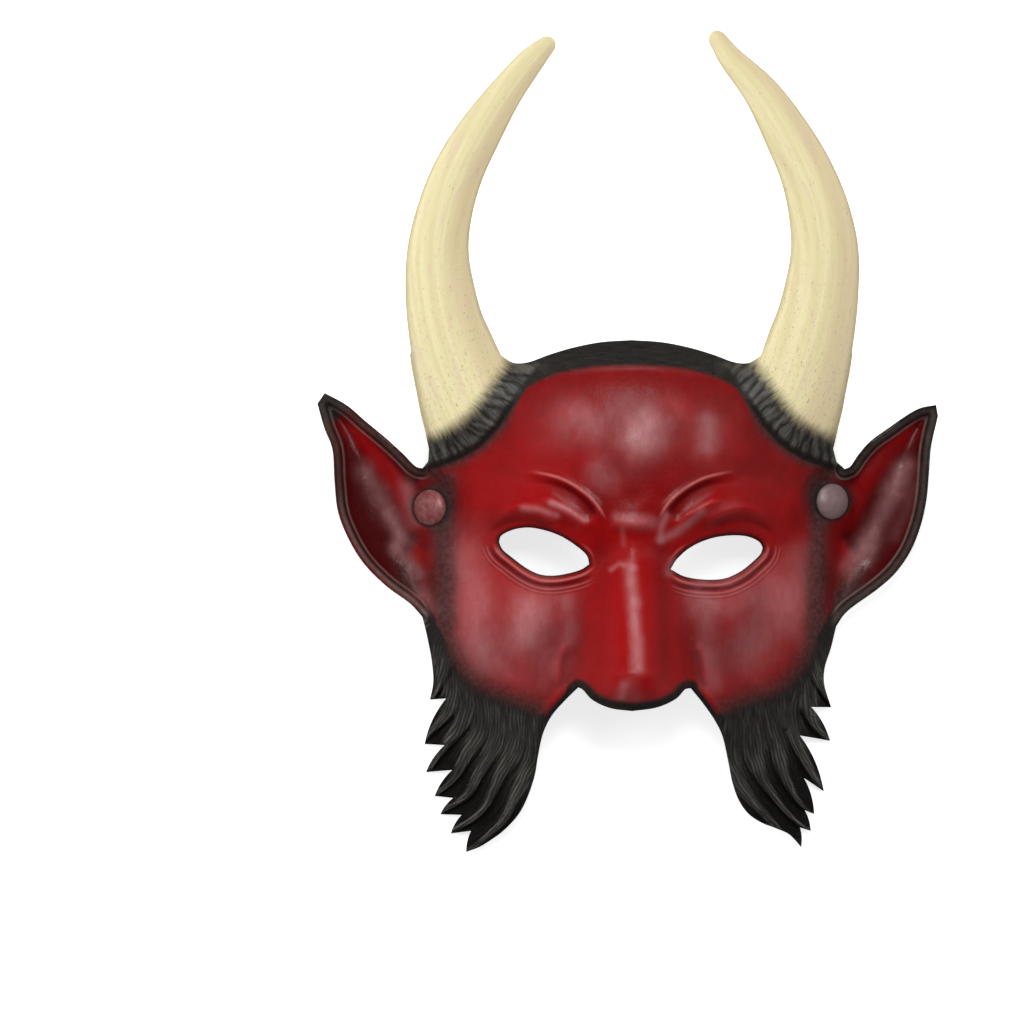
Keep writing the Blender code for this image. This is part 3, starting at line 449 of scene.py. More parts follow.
def horn(x, y):
    """The middle height and the half depth of the nearer horn, and how far along it each point is."""
    middle, depth, along = np.zeros(x.shape), np.zeros(x.shape), np.zeros(x.shape)
    for side in (LEFT, RIGHT):
        line = horn_line(side)
        apart, share, _ = near(x * side, y, line)
        place = np.linspace(0, 1, len(line))
        half = np.interp(share, place, line[:, 3])
        here = x * side >= 0
        middle = np.where(here, np.interp(share, place, line[:, 2]), middle)
        round_share = np.sqrt(np.clip(1 - (apart / np.maximum(half, 0.5)) ** 2, 0.015, 1))
        depth = np.where(here, HORN_DEPTH_SHARE * np.maximum(half, 0.6) * round_share, depth)
        along = np.where(here, share, along)
    return middle, depth, along


def collar_depth(x, y):
    """How far each point lies inside the horn's foot, measured from the collar line."""
    apart, _, side = near(np.abs(x), y, smooth(COLLAR_LINE, 2.0))
    return np.where(side > 0, apart, -apart)


def brow_rim(x):
    """Where the head ends under the horns."""
    return profile([(0, 91.6), (25, 88.3), (44, 80.0), (60, 70.0), (75, 56.0), (92, 36.0)], np.abs(x))


def snap_frame(side):
    """The middle of the seat on the front face, in drawn millimetres, and the seat's outward normal."""
    x, y = SNAP_AT[side]
    normal = Vector((side * math.sin(SNAP_TILT), 0.0, math.cos(SNAP_TILT)))
    at = np.array([side * x]), np.array([y])
    return Vector((side * x, y, float((head(*at) + ear_bowl(*at))[0]))), normal


def snap_plane(x, y, side):
    """The height of the flat seat under a button, and how much it holds at each point."""
    middle, normal = snap_frame(side)
    height = middle.z - ((x - middle.x) * normal.x + (y - middle.y) * normal.y) / normal.z
    apart = np.hypot((x - middle.x) / normal.z, y - middle.y)
    return height, 1 - ease((apart - SNAP_SEAT_RADIUS) / SNAP_SEAT_BLEND)


def snap_circle(side, radius, count, depth=0.0):
    """A circle on the seat, or as far below it as depth, as seen from straight above."""
    middle, normal = snap_frame(side)
    angle = np.linspace(0, 2 * math.pi, count, endpoint=False)
    x = middle.x + (radius * normal.z * np.cos(angle) - depth * normal.x)
    y = middle.y + radius * np.sin(angle)
    return np.stack([x, y], axis=1)


def broad_form(x, y, nose_inset=0.0):
    """The form without its carving, which the inner face follows too."""
    height = head(x, y) + nose(x, y, nose_inset) + swells(x, y) + ear_bowl(x, y)
    for side in (LEFT, RIGHT):
        seat, hold = snap_plane(x, y, side)
        height = height + (seat - height) * hold
    return height


def carved_front(x, y):
    """The front with its carving, but without its horns."""
    height = broad_form(x, y)
    carving = folds(x, y) + locks(x, y) + edge_roll(x, y)
    for side in (LEFT, RIGHT):
        carving = carving * (1 - snap_plane(x, y, side)[1])
    return height + carving


def wall_in_z(x, y):
    """The wall's upright thickness: more than WALL where the head is steep."""
    along_x = head(x + 0.5, y) - head(x - 0.5, y)
    along_y = head(x, y + 0.5) - head(x, y - 0.5)
    return WALL * np.sqrt(1 + along_x**2 + along_y**2)


def outline(step, horn_step):
    """The mask's outer loop: right half down, then left half up."""
    halves = {}
    for side in (RIGHT, LEFT):
        up, down = horn_edges(side, horn_step)
        pieces = [
            respaced(np.vstack([smooth(ARCH, 1.0), up[:1]]), step),
            up,
            down,
            respaced(np.vstack([down[-1:], smooth(HORN_FOOT, 1.0)]), step),
            respaced(np.array(EAR[side]["notch"]), step * 0.7),
            smooth(EAR[side]["top"], step),
            smooth(EAR[side]["tip"], step),
            smooth(EAR[side]["outer"], step),
            smooth(JAW[side], step),
        ]
        pieces += lock_edges(side, step)
        pieces += [smooth(BEARD_INNER[side], step), smooth(NOSE_EDGE[side], step)]
        halves[side] = np.vstack([piece[:-1] for piece in pieces] + [pieces[-1][-1:]])
    right = halves[RIGHT]
    left = halves[LEFT][1:-1][::-1] * np.array([-1, 1])
    return np.vstack([right, left])[::-1]


def lock_edges(side, step):
    """Each lock's lower edge to its notch, then the next lock's bulging edge to its tip."""
    edges = []
    ends = LOCKS[side]
    for (tip, notch), (next_tip, _) in zip(ends, ends[1:]):
        tip, notch, next_tip = (np.array(p, float) for p in (tip, notch, next_tip))
        across = next_tip - notch
        bulge = (notch + next_tip) / 2 + LOCK_BELLY * np.array([-across[1], across[0]])
        edges.append(respaced(np.stack([tip, notch]), step))
        edges.append(respaced(bend(notch, bulge, next_tip), step))
    return edges


def eye_loop(side, step):
    upper, lower = (smooth(points, step) for points in EYES[side])
    return np.vstack([upper[:-1], lower[:-1]]) * np.array([side, 1])


def loops(step, horn_step):
    return [outline(step, horn_step), eye_loop(LEFT, step), eye_loop(RIGHT, step)]


def on_mask(x, y, rims):
    """Which points lie inside the outer loop and outside every hole."""
    holes = np.any([within(x, y, rim) for rim in rims[1:]], axis=0)
    return within(x, y, rims[0]) & ~holes


def edge_distance(x, y, rims):
    """How far each point is from the nearest of the closed loops."""
    return np.min([near(x, y, np.vstack([rim, rim[:1]]))[0] for rim in rims], axis=0)


def faces_of(x, y, rims):
    """The heights of the front and of the inner face at each point, in drawn millimetres."""
    front = carved_front(x, y)
    wall = wall_in_z(x, y)
    rounding = edge_distance(x, y, rims) / EDGE_ROUND
    rounded = np.sqrt(1 - (1 - np.clip(rounding, 0, 1)) ** 2)
    trim = wall * (1 - EDGE_WALL_SHARE) * (1 - rounded)
    inner = broad_form(x, y, NOSE_WALL_SHARE * WALL) - wall
    back = np.minimum(inner, front - THINNEST_WALL)
    middle, depth, _ = horn(x, y)
    inside = collar_depth(x, y)
    rise = COLLAR_STEP * ease((np.abs(x) - COLLAR_FADE[0]) / COLLAR_FADE[1])
    step = rise * ease(inside / 3.0 + 0.5)
    swell = ease(inside / COLLAR_SWELL)
    front = front - trim
    horn_front = middle + depth
    above = np.maximum(horn_front - front, rise)
    collared = (inside > -1) & (np.abs(x) < EAR_BEYOND + 0.1 * (y - 40))
    front = np.where(collared, front + step + (above - rise) * swell, front)
    for side in (LEFT, RIGHT):
        seat, hold = snap_plane(x, y, side)
        back = back + (seat - WALL / math.cos(SNAP_TILT) - back) * hold
    free = ease((y - brow_rim(x) + 4) / 14) * (np.abs(x) < EAR_BEYOND + 0.1 * (y - 40))
    front = front + (horn_front - front) * free
    back = back + (middle - depth - back) * free
    return front, back


# Steps of the fine mesh, in millimetres
RIM_STEP = 1.2
RIM_ROWS = (0.4, 1.0)
HORN_STEP = 2.2
HORN_COLUMNS = np.sin(np.radians(np.linspace(-80, 80, 31)))
FACE_STEP = 1.12
INSIDE_STEP = 3.0
STRAND_STEP = (0.42, 1.3)
COLLAR_FUR = (-2.0, 15.0)
HOLE_SIDES = 24
MASK_SHARP_ANGLE = math.radians(55)
CAP_SHARP_ANGLE = math.radians(50)


def chance(i, j, seed):
    """A fixed number from 0 to 1 for each cell of a lattice."""
    mixed = (i * 374761393 + j * 668265263 + seed * 974634777) & 0xFFFFFFFF
    mixed = ((mixed ^ (mixed >> 13)) * 1274126177) & 0xFFFFFFFF
    return ((mixed ^ (mixed >> 16)) & 0xFFFF) / 0xFFFF


def wander(u, v, seed=0):
    """Smooth numbers from -1 to 1 that change over about one unit of u and v."""
    i, j = np.floor(u).astype(np.int64), np.floor(v).astype(np.int64)
    s, t = ease(u - i), ease(v - j)
    low = chance(i, j, seed) * (1 - s) + chance(i + 1, j, seed) * s
    high = chance(i, j + 1, seed) * (1 - s) + chance(i + 1, j + 1, seed) * s
    return 2 * (low * (1 - t) + high * t) - 1


def beard_grain(x, y):
    """At each point: the nearest lock, the way across it and along it in mm, and the share of its width."""
    x, y = swayed(x, y)
    lock, across, along = np.zeros(x.shape), np.zeros(x.shape), np.zeros(x.shape)
    closest, shares = np.full(x.shape, np.inf), np.zeros(x.shape)
    for side in (LEFT, RIGHT):
        for i, line in enumerate(lock_lines(side)):
            apart, share, turned = near(x * side, y, line)
            length = np.linalg.norm(np.diff(line, axis=0), axis=1).sum()
            half = LOCK_HALF_WIDTH * np.clip(1.15 - share, 0.25, 1) * ease(share / 0.3 + 0.35)
            closer = (x * side > 0) & (apart / half < closest)
            closest = np.where(closer, apart / half, closest)
            lock = np.where(closer, 20 * (side + 1) + i, lock)
            across = np.where(closer, apart * turned, across)
            along = np.where(closer, share * length, along)
            shares = np.where(closer, share, shares)
    return lock, across, along, closest, shares


def collar_grain(x, y):
    """At each point: the way along the collar's line and the way in from it, in mm."""
    line = smooth(COLLAR_LINE, 2.0)
    apart, share, turned = near(np.abs(x), y, line)
    length = np.linalg.norm(np.diff(line, axis=0), axis=1).sum()
    return share * length * np.where(x > 0, 1, -1), apart * np.where(turned > 0, 1, -1)


def horn_grain(x, y):
    """At each point: the way across the nearer horn and down it from its tip, in mm, and its half width."""
    across, along, width = np.zeros(x.shape), np.zeros(x.shape), np.ones(x.shape)
    for side in (LEFT, RIGHT):
        line = horn_line(side)
        apart, share, turned = near(x * side, y, line)
        length = np.linalg.norm(np.diff(line[:, :2], axis=0), axis=1).sum()
        here = x * side >= 0
        across = np.where(here, apart * turned, across)
        along = np.where(here, share * length, along)
        width = np.where(here, np.interp(share, np.linspace(0, 1, len(line)), line[:, 3]), width)
    return across, along, width


def hair_depth(x, y):
    """How far each point lies below the beard's hairline."""
    apart, _, turned = near(np.abs(x), y, smooth(HAIRLINE, 2.0))
    return np.where(turned > 0, apart, -apart)


def on_horn(x, y):
    """How much a point belongs to a horn and not to the ear behind it."""
    return np.where(np.abs(x) < EAR_BEYOND + 0.1 * (y - 40), 1.0, 0.0)


def ridges(across, along, pitch, seed):
    """Strands side by side, from 0 in their gaps to 1 on their backs, that drift as they run."""
    drift = 0.55 * wander(along / 9, across / 5, seed) + 0.25 * wander(along / 4, across / 2.5, seed + 1)
    place = across / pitch + drift
    back = np.abs(2 * (place - np.floor(place)) - 1)
    uneven = 0.65 + 0.35 * wander(np.floor(place) * 1.7, along / 7, seed + 2)
    return (1 - back**1.6) * uneven


# The fine relief: the pitch or the place of each kind of line, then its rise
BEARD_STRAND = (1.35, 0.5)
COLLAR_TUFT = (4.4, 0.9)
COLLAR_STRAND = (0.95, 0.2)
LOCK_GROOVE = 1.2
HORN_FLUTE = (12.0, 0.09)
HAND_WORK = ((13.0, 0.30), (6.0, 0.14), (2.8, 0.05))
LID_LINES = ((2.5, 0.75, 0.55), (4.3, 0.9, -0.5), (6.4, 0.5, -0.24), (7.7, 0.5, -0.2))
CHEEK_RINGS = ((66, -33, 8.5, 0.16), (59, -42, 6.5, 0.13))
RING_PITCH = 2.3
EAR_STEP = (4.0, 1.1)
EAR_WRINKLE = (1.5, 0.5)
EAR_WRINKLE_WAY = (0.88, 0.47)
TIP_CREASES = (-53, -54.6, -56.2)


def fine_relief(x, y, rim):
    """Strands, flutes, creases and the unevenness of handwork, on top of the carved front."""
    inside = collar_depth(x, y)
    horned = on_horn(x, y)
    out = np.abs(x)
    horn_zone = ease((inside - 9) / 5) * horned
    total = np.zeros(x.shape)
    for i, (reach, rise) in enumerate(HAND_WORK):
        total += rise * (1 - horn_zone) * wander(x / reach, y / reach, 3 + i)
    lock, across, along, closest, share = beard_grain(x, y)
    haired = ease((hair_depth(x, y) + 3) / 9) * ease((share + 0.05) / 0.12)
    pitch, rise = BEARD_STRAND
    strands = ridges(across + 7.3 * lock, along, pitch, 11)
    groove = ease((closest - 0.66) / 0.4) * ease((share - 0.3) / 0.5)
    total += haired * (rise * (strands - 0.5) - LOCK_GROOVE * groove)
    # The painted light of the strands: painted sheen on their backs, and below 0 painted shade in the gaps
    # between locks
    lift = haired * (strands * (0.55 + 0.45 * ease((share - 0.2) / 0.3)) - 1.4 * groove)
    c, q = collar_grain(x, y)
    c = c + 0.3 * q
    furred = ease((q + 1.2) / 2.4) * (1 - ease((q - 9 - 2.5 * wander(c / 2.6, q / 30, 21)) / 4)) * horned
    for (pitch, rise), seed, highlight_share in ((COLLAR_TUFT, 17, 0.95), (COLLAR_STRAND, 19, 0.35)):
        strands = ridges(c, q, pitch, seed)
        total += furred * rise * strands
        lift += furred * highlight_share * strands * ease((q + 1) / 3)
    for side in (LEFT, RIGHT):
        lower = smooth(EYES[side][1], 1.0)
        apart, share, turned = near(x * side, y, lower)
        below = (turned < 0) * ease(share / 0.3) * ease((1 - share) / 0.12) * (x * side > 0)
        for place, half, rise in LID_LINES:
            off = apart - place - 0.3 * wander(share * 9, 0 * x, 41)
            total += below * rise * np.exp(-((off / half) ** 2))
    for cx, cy, reach, rise in CHEEK_RINGS:
        bent = np.hypot(out - cx + 1.2 * wander(x / 3, y / 3, 43), y - cy + 1.2 * wander(x / 3, y / 3, 44))
        rings = np.sin(bent * 2 * np.pi / RING_PITCH) * np.exp(-((bent / reach) ** 2))
        total += rise * rings * wander(x / 4 + 9, y / 4, 45)
    place, rise = EAR_STEP
    for side in (LEFT, RIGHT):
        apart = near(x * side, y, ear_edge(side))[0]
        eared = ease((x * side - EAR_BEYOND + 3) / 4)
        total += eared * rise * (0.5 - ease((apart - place + 0.8) / 1.6))
        total += eared * 0.5 * np.exp(-(((apart - place + 0.9) / 0.6) ** 2))
    wrinkled = np.exp(-(((out - 96) / 8) ** 2) - ((y - 1) / 13) ** 2) * (out > 84)
    pitch, rise = EAR_WRINKLE
    a, b = EAR_WRINKLE_WAY
    total += wrinkled * rise * ridges(a * out - b * y, a * y + b * out, pitch, 51)
    for level in TIP_CREASES:
        total -= 0.2 * np.exp(-(((y - level) / 0.45) ** 2) - ((x - 4) / 3.5) ** 2)
    hx, hy, _ = horn_grain(x, y)
    pitch, rise = HORN_FLUTE
    total += horn_zone * rise * (wander(hx / pitch + 4, hy / 90, 31) + 0.4 * wander(hx / 2.1, hy / 22, 33))
    return total * ease(rim / 1.6), lift


def hollow(x, y, reach=2.2):
    """How far the carved front lies below its surroundings, in mm."""
    moves = ((reach, 0), (-reach, 0), (0, reach), (0, -reach))
    return sum(carved_front(x + dx, y + dy) for dx, dy in moves) / len(moves) - carved_front(x, y)


def offset_rows(line, shifts, step):
    """Copies of a line shifted sideways, with points about step apart."""
    line = respaced(line, step)
    turn = np.gradient(line, axis=0)
    turn /= np.linalg.norm(turn, axis=1)[:, None]
    sideways = np.stack([-turn[:, 1], turn[:, 0]], axis=1)
    return np.vstack([line + shift * sideways for shift in shifts])


def hex_grid(step, rims):
    """Even points over the outer loop's box, each row half a step off the last."""
    low, high = rims[0].min(axis=0), rims[0].max(axis=0)
    rows = np.arange(low[1], high[1], step * math.sqrt(3) / 2)
    columns = np.arange(low[0], high[0], step)
    grid = [(x + (step / 2 if i % 2 else 0), y) for i, y in enumerate(rows) for x in columns]
    return np.array(grid)


def horn_rows(step):
    """Rows of points along each free horn, closer together towards its edges."""
    rows = []
    for side in (LEFT, RIGHT):
        middle, out = horn_stations(side, step)
        rows += [(middle + share * out)[1:] * np.array([side, 1]) for share in HORN_COLUMNS]
    return np.vstack(rows)


def beard_rows(apart, step):
    """Rows of points along each lock of the beard, where that lock is the nearest."""
    shifts = np.arange(-7, 7 + apart, apart)
    rows = []
    for side in (LEFT, RIGHT):
        for i, line in enumerate(lock_lines(side)):
            points = offset_rows(line, shifts, step) * np.array([side, 1])
            lock = beard_grain(*points.T)[0]
            rows.append(points[lock == 20 * (side + 1) + i])
    return np.vstack(rows)


def collar_rows(apart, step):
    """Columns of points that run inwards from the collar's line."""
    line = respaced(smooth(COLLAR_LINE), apart)
    rows = offset_rows(line, np.arange(COLLAR_FUR[0], COLLAR_FUR[1], step), apart)
    rows = rows[rows[:, 0] < 92.5]
    return np.vstack([rows * np.array([side, 1]) for side in (LEFT, RIGHT)])


def thinned(points, clear):
    """The points with near doubles left out."""
    for shift in (0, clear / 2):
        cells = np.floor((points + shift) / clear).astype(np.int64)
        _, first = np.unique(cells, axis=0, return_index=True)
        points = points[np.sort(first)]
    return points


def joined(kept, more, clear):
    """The points kept so far, and those of more that lie further than clear from all of them."""
    tree = KDTree(len(kept))
    for i, (x, y) in enumerate(kept):
        tree.insert((x, y, 0), i)
    tree.balance()
    free = [tree.find((x, y, 0))[2] > clear for x, y in more]
    return np.vstack([kept, more[free]])


def sheet(rims, inner):
    """Triangles over the loops' inside that use every loop point and every inner point."""
    points = np.vstack(rims + [inner])
    edges, first = [], 0
    for rim in rims:
        count = len(rim)
        edges += [(first + i, first + (i + 1) % count) for i in range(count)]
        first += count
    found = delaunay_2d_cdt([Vector(p) for p in points], edges, [], 0, 1e-6)
    places, triangles, origin = np.array(found[0]), np.array(found[2]), found[3]
    keep = on_mask(*places[triangles].mean(axis=1).T, rims)
    order = {}
    for new, old in enumerate(origin):
        for index in old:
            order[index] = new
    return places, triangles[keep], [order[i] for i in range(first)], edges


def clear_of_edges(points, rims, clear):
    """The points on the mask that keep clear of every loop."""
    x, y = points.T
    points = points[on_mask(x, y, rims)]
    return points[edge_distance(*points.T, rims) > clear]


def face_points(rims, holes):
    """Every point of the front, from the edges and the strands to the plain skin."""
    solid = rims + holes
    rows = [offset_rows(np.vstack([rim, rim[:1]]), (side * depth,), RIM_STEP)
            for rim in rims for depth in RIM_ROWS for side in (LEFT, RIGHT)]
    edging = clear_of_edges(np.vstack(rows), rims, 0.9 * RIM_ROWS[0])
    points = thinned(edging, 0.45)
    points = points[points[:, 1] < HORN_FREE_ABOVE + 2]
    points = joined(horn_rows(HORN_STEP), points, 0.3)
    for rows, gap in ((beard_rows(*STRAND_STEP), 0.5), (collar_rows(*STRAND_STEP), 0.5)):
        rows = clear_of_edges(rows, solid, 0.45)
        rows = rows[rows[:, 1] < HORN_FREE_ABOVE]
        points = joined(points, thinned(rows, 0.34), gap * STRAND_STEP[0] * 1.6)
    skin = clear_of_edges(hex_grid(FACE_STEP, rims), solid, 0.55 * FACE_STEP)
    skin = skin[skin[:, 1] < HORN_FREE_ABOVE + 4]
    return joined(points, skin, 0.6 * FACE_STEP)


def inside_points(rims, holes, front):
    """The points of the inner face, which is plain but shares the ears' and the horns' points."""
    solid = rims + holes
    on_ear = (np.abs(front[:, 0]) > EAR_ROOT) & (front[:, 1] > -30) & (front[:, 1] < 70)
    ears = thinned(clear_of_edges(front[on_ear], solid, 0.6), 1.3)
    plain = clear_of_edges(hex_grid(INSIDE_STEP, rims), solid, 0.4 * INSIDE_STEP)
    plain = plain[plain[:, 1] < HORN_FREE_ABOVE + 4]
    kept = joined(horn_rows(HORN_STEP), ears, 0.6)
    return joined(kept, plain, 0.62 * INSIDE_STEP)


def snap_holes(depth):
    """The rims of the two holes for the snaps' posts, as far below the front as depth."""
    radius = SNAP_POST_RADIUS + SNAP_HOLE_GAP
    return [snap_circle(side, radius, HOLE_SIDES, depth) for side in (LEFT, RIGHT)]


# The bright red round an eye, as a closed loop
SOCKET = [(10.7, 15.1), (15.2, 21.6), (20.5, 26.8), (29, 32), (36, 34.2), (48, 35.4), (59.5, 33.8),
          (67.6, 26.7), (70.3, 17.5), (67.6, 9.4), (58, 2), (50, -7), (40, -11), (30, -12), (17, -6), (9, 4)]
# The lower edge of the black band over the forehead
BAND_EDGE = [(0, 79.6), (18, 78.6), (34, 75.2), (46, 69.5), (60, 59), (80, 43)]
# Painted sheen, pale pink where soft highlights fall on the satin paint of the forehead, the nose's ridge,
# the lids, the cheeks and the ears' bowls: a line's points, its half width and how pale it is
PAINTED_SHEEN_LINES = [
    ([(4, 50), (7, 55)], 7.5, 0.8),
    ([(-25, 58), (-18, 56)], 7.5, 0.34),
    ([(31, 46), (32, 56)], 4.5, 0.54),
    ([(-30, 57), (30, 56)], 13.0, 0.12),
    ([(-14, 36), (-11, 33)], 6.0, 0.28),
    ([(2, 38), (7, 46)], 6.5, 0.12),
    ([(-6, 16.4), (1.8, 14.4), (9, 14.4)], 2.6, 0.34),
    ([(-4.1, 12), (-3.6, 5)], 1.2, 0.2),
    ([(-1.2, -4), (-0.8, -12), (0.2, -19)], 2.6, 0.45),
    ([(0.4, -19), (1.8, -30), (2.6, -38), (3.0, -47)], 2.2, 0.48),
    ([(-3.6, -54), (-5, -59)], 2.4, 0.4),
    ([(0, -53), (1, -59)], 3.0, 0.16),
    ([(-9, -5.6), (-4.9, -2.8), (-3.4, -3.6)], 0.9, 0.45),
    ([(-72, 2), (-68, -20), (-60, -44)], 11.0, 0.36),
    ([(-66, -22), (-65, -40)], 7.0, 0.3),
    ([(-40, -14), (-36, -46)], 12.0, 0.24),
    ([(-44, -24), (-45, -34)], 7.0, 0.62),
    ([(-27, -18), (-26, -34)], 3.5, 0.25),
    ([(-55, -50), (-40, -56)], 4.5, 0.08),
    ([(38, -16), (60, -18), (50, -40)], 13.0, 0.34),
    ([(29, -16), (32, -34), (35, -54)], 4.5, 0.4),
    ([(72, 0), (70, -30)], 7.0, 0.25),
    ([(12.1, 7.2), (18, 10), (24, 14.2), (29.4, 18.6)], 1.7, 0.5),
    ([(12.1, 7.2), (12.6, 12), (14.4, 17.4)], 1.4, 0.5),
    ([(-34, 22.6), (-27, 19.6), (-20, 15.4)], 1.4, 0.7),
    ([(-46, 20.2), (-39, 19.6), (-32, 17.2)], 1.4, 0.55),
    ([(32, 18), (44, 22)], 2.4, 0.1),
    ([(15.4, -7), (17.4, -2)], 1.8, 0.4),
    ([(-113, 36), (-104, 20), (-96, 6)], 4.0, 0.35),
    ([(-104, 18), (-98, 8)], 2.4, 0.3),
    ([(-96, 30), (-92, 14)], 3.2, 0.28),
    ([(-100, 4), (-91, -8)], 2.8, 0.6),
    ([(-90, -16), (-80, -22)], 3.6, 0.45),
    ([(98, 0), (106, 16), (117, 38)], 4.0, 0.5),
    ([(112, 8), (122, 30)], 2.8, 0.1),
    ([(93, -6), (99, 2)], 4.0, 0.45),
]
# Painted shade in the crease beside each wing of the nose
WING_CREASE_SHADE = {LEFT: [(23, -62), (23.6, -54)], RIGHT: [(22, -63), (23.6, -56)]}


def mask_paint(x, y, rim, dip):
    """What each point of the front tells its paint: its place in mm, and how much of each coat it has."""
    inside = np.where(on_horn(x, y) > 0, collar_depth(x, y), -60.0)
    hair = np.minimum(hair_depth(x, y), 0.8 * (-24 - y))
    out = np.abs(x)
    band = profile(BAND_EDGE, out)
    sides = (LEFT, RIGHT)
    outer = np.min([near(x * side, y, ear_edge(side))[0] + 99 * (x * side < 0) for side in sides], axis=0)
    eared = ease((out - 85) / 4)
    seated = np.min([np.hypot(x * side - SNAP_AT[side][0], y - SNAP_AT[side][1]) for side in sides], axis=0)
    eyes = edge_distance(x, y, [eye_loop(side, 1.5) for side in sides])
    # Black: the band, the collars with a painted shadow on the strip at the foot of each collar's step, the
    # beard, the ears' rims and tips, the nose's edge, the beard's inner edge, and lines round the eye holes
    # and the snaps; then painted shade beside the nose's wings
    blacks = [
        ease((y - band + 2.4) / 6.0) * (1 - ease((out - 74) / 8)),
        # The collars' black fur, and a painted shadow on the red just outside it
        ease((inside + 2.8) / 2.0),
        ease((hair + 7) / 14),
        eared * (1 - ease((outer - 2.6) / 2.6)) * (0.45 + 0.35 * (x > 0) + 0.2 * ease((y - 5) / 20)),
        eared * ease((15 - np.hypot(out - 131, y - 67)) / 9),
        (out < 28) * (1 - ease((rim - 1.0) / 5.4)) * (y < -48),
        (out >= 24) * (out < 50) * (1 - ease((rim - 0.8) / 2.6)) * (y < -54),
        0.4 * (1 - ease((eyes - 0.1) / 1.0)),
        0.75 * (1 - ease((seated - 7.4) / 2.4)),
    ]
    for side, crease in WING_CREASE_SHADE.items():
        blacks.append(np.exp(-((near(x * side, y, np.array(crease, float))[0] / 1.7) ** 2)))
    # Smoke: down the temples, at the ears' roots, over the snaps, along the hairline and the collars
    temple = np.exp(-(((out - 79.5 - 1.2 * wander(x / 5, y / 9, 81)) / 6.5) ** 2))
    temple *= (1 - ease((y - 30) / 14)) * ease((y + 70) / 24)
    root = np.exp(-(((out - 93) / 9) ** 2) - ((y + 12 + 8 * (x > 0)) / 13) ** 2) * np.where(x > 0, 1.1, 0.7)
    over_snap = 0.9 * np.exp(-(((out - 84) / 7) ** 2) - ((y - 37) / 6) ** 2)
    verge = 0.8 * ease((inside + 8) / 7) * (y < 84) * ease((out - 44) / 10)
    haze = np.max([0.85 * temple, root, over_snap, 0.75 * ease((hair + 13) / 13), verge], axis=0)
    # Bright red round the eyes and on the nose
    bed = np.vstack([SOCKET, SOCKET[:1]])
    glow = near(out, y, bed)[0] * np.where(within(out, y, np.array(SOCKET)), 1, -1)
    on_nose = ease((22 - out) / 6) * ease((y + 62) / 8) * (1 - ease((y - 12) / 8))
    glow = np.maximum(ease((glow + 1.5) / 6), on_nose)
    under, ends = below_brow(x, y)
    fold = near(out, y, smooth(EAR_FOLDS[0][0], 2.0))[0]
    lid = (1 - ease((y - 1) / 5)) * ease((out - 15) / 5) * (1 - ease((eyes - 9) / 3))
    crest = ends * (1 - ease((out - 34) / 12))
    rimmed = eared * (0.35 + 0.65 * (x < 0) * ease((34 - y) / 20))
    # Maroon, painted shade in the hollows, round the snaps and on faces turned from the light, and partly the
    # ears' own dark paint:
    # the ears' bowls, under the brows, the temples, the eye holes' rims, round the snaps, and beside the
    # nose's root, down its flanks and over the right eye
    flank = np.exp(-(((out - 13) / 6) ** 2)) * ease((y + 60) / 10) * (1 - ease((y + 6) / 10))
    deep = np.max([
        ease((out - 86 - 6 * ease((12 - y) / 14)) / 6) * (0.95 - 0.75 * np.exp(-((fold / 4.5) ** 2))),
        0.42 * ends * ease((under - 0.4) / 1.6) * (1 - ease((under - 5) / 6)) * (1 - ease((out - 28) / 16)),
        0.4 * ease((out - 60) / 14) * ease((y - 2) / 14),
        0.9 * (1 - ease((eyes - 0.5) / 1.3)),
        0.8 * (1 - ease((seated - 7.5) / 9)),
        0.45 * np.exp(-(((out - 13) / 6) ** 2) - ((y - 1) / 10) ** 2),
        np.where(x > 0, 0.42, 0.24) * flank,
        0.34 * np.exp(-(((x - 58) / 11) ** 2) - ((y - 27) / 8) ** 2),
    ], axis=0)
    # The painted sheen patches, with uneven edges
    bloom = np.zeros(x.shape)
    stray = [wander(x / 6, y / 6, seed) + 0.5 * wander(x / 2.3, y / 2.3, seed + 2) for seed in (61, 67)]
    worked = 0.84 + 0.2 * wander(x / 7, y / 9, 71) + 0.12 * wander(x / 1.6, y / 3.6, 73)
    for line, half, highlight_share in PAINTED_SHEEN_LINES:
        stroll = min(0.2 * half, 1.2)
        apart = near(x + stroll * stray[0], y + stroll * stray[1], smooth(line, 2.0))[0]
        bloom = 1 - (1 - bloom) * (1 - highlight_share * worked * np.exp(-((apart / half) ** 2)))
    return {"collar": inside, "black": np.max(blacks, axis=0), "haze": haze, "deep": deep, "dip": dip,
            "glow": glow, "bloom": bloom, "eye": np.stack([eyes, lid, 0 * x], axis=1),
            "ear": np.stack([outer, eared, rimmed], axis=1), "brow": np.stack([under, crest, 0 * x], axis=1)}


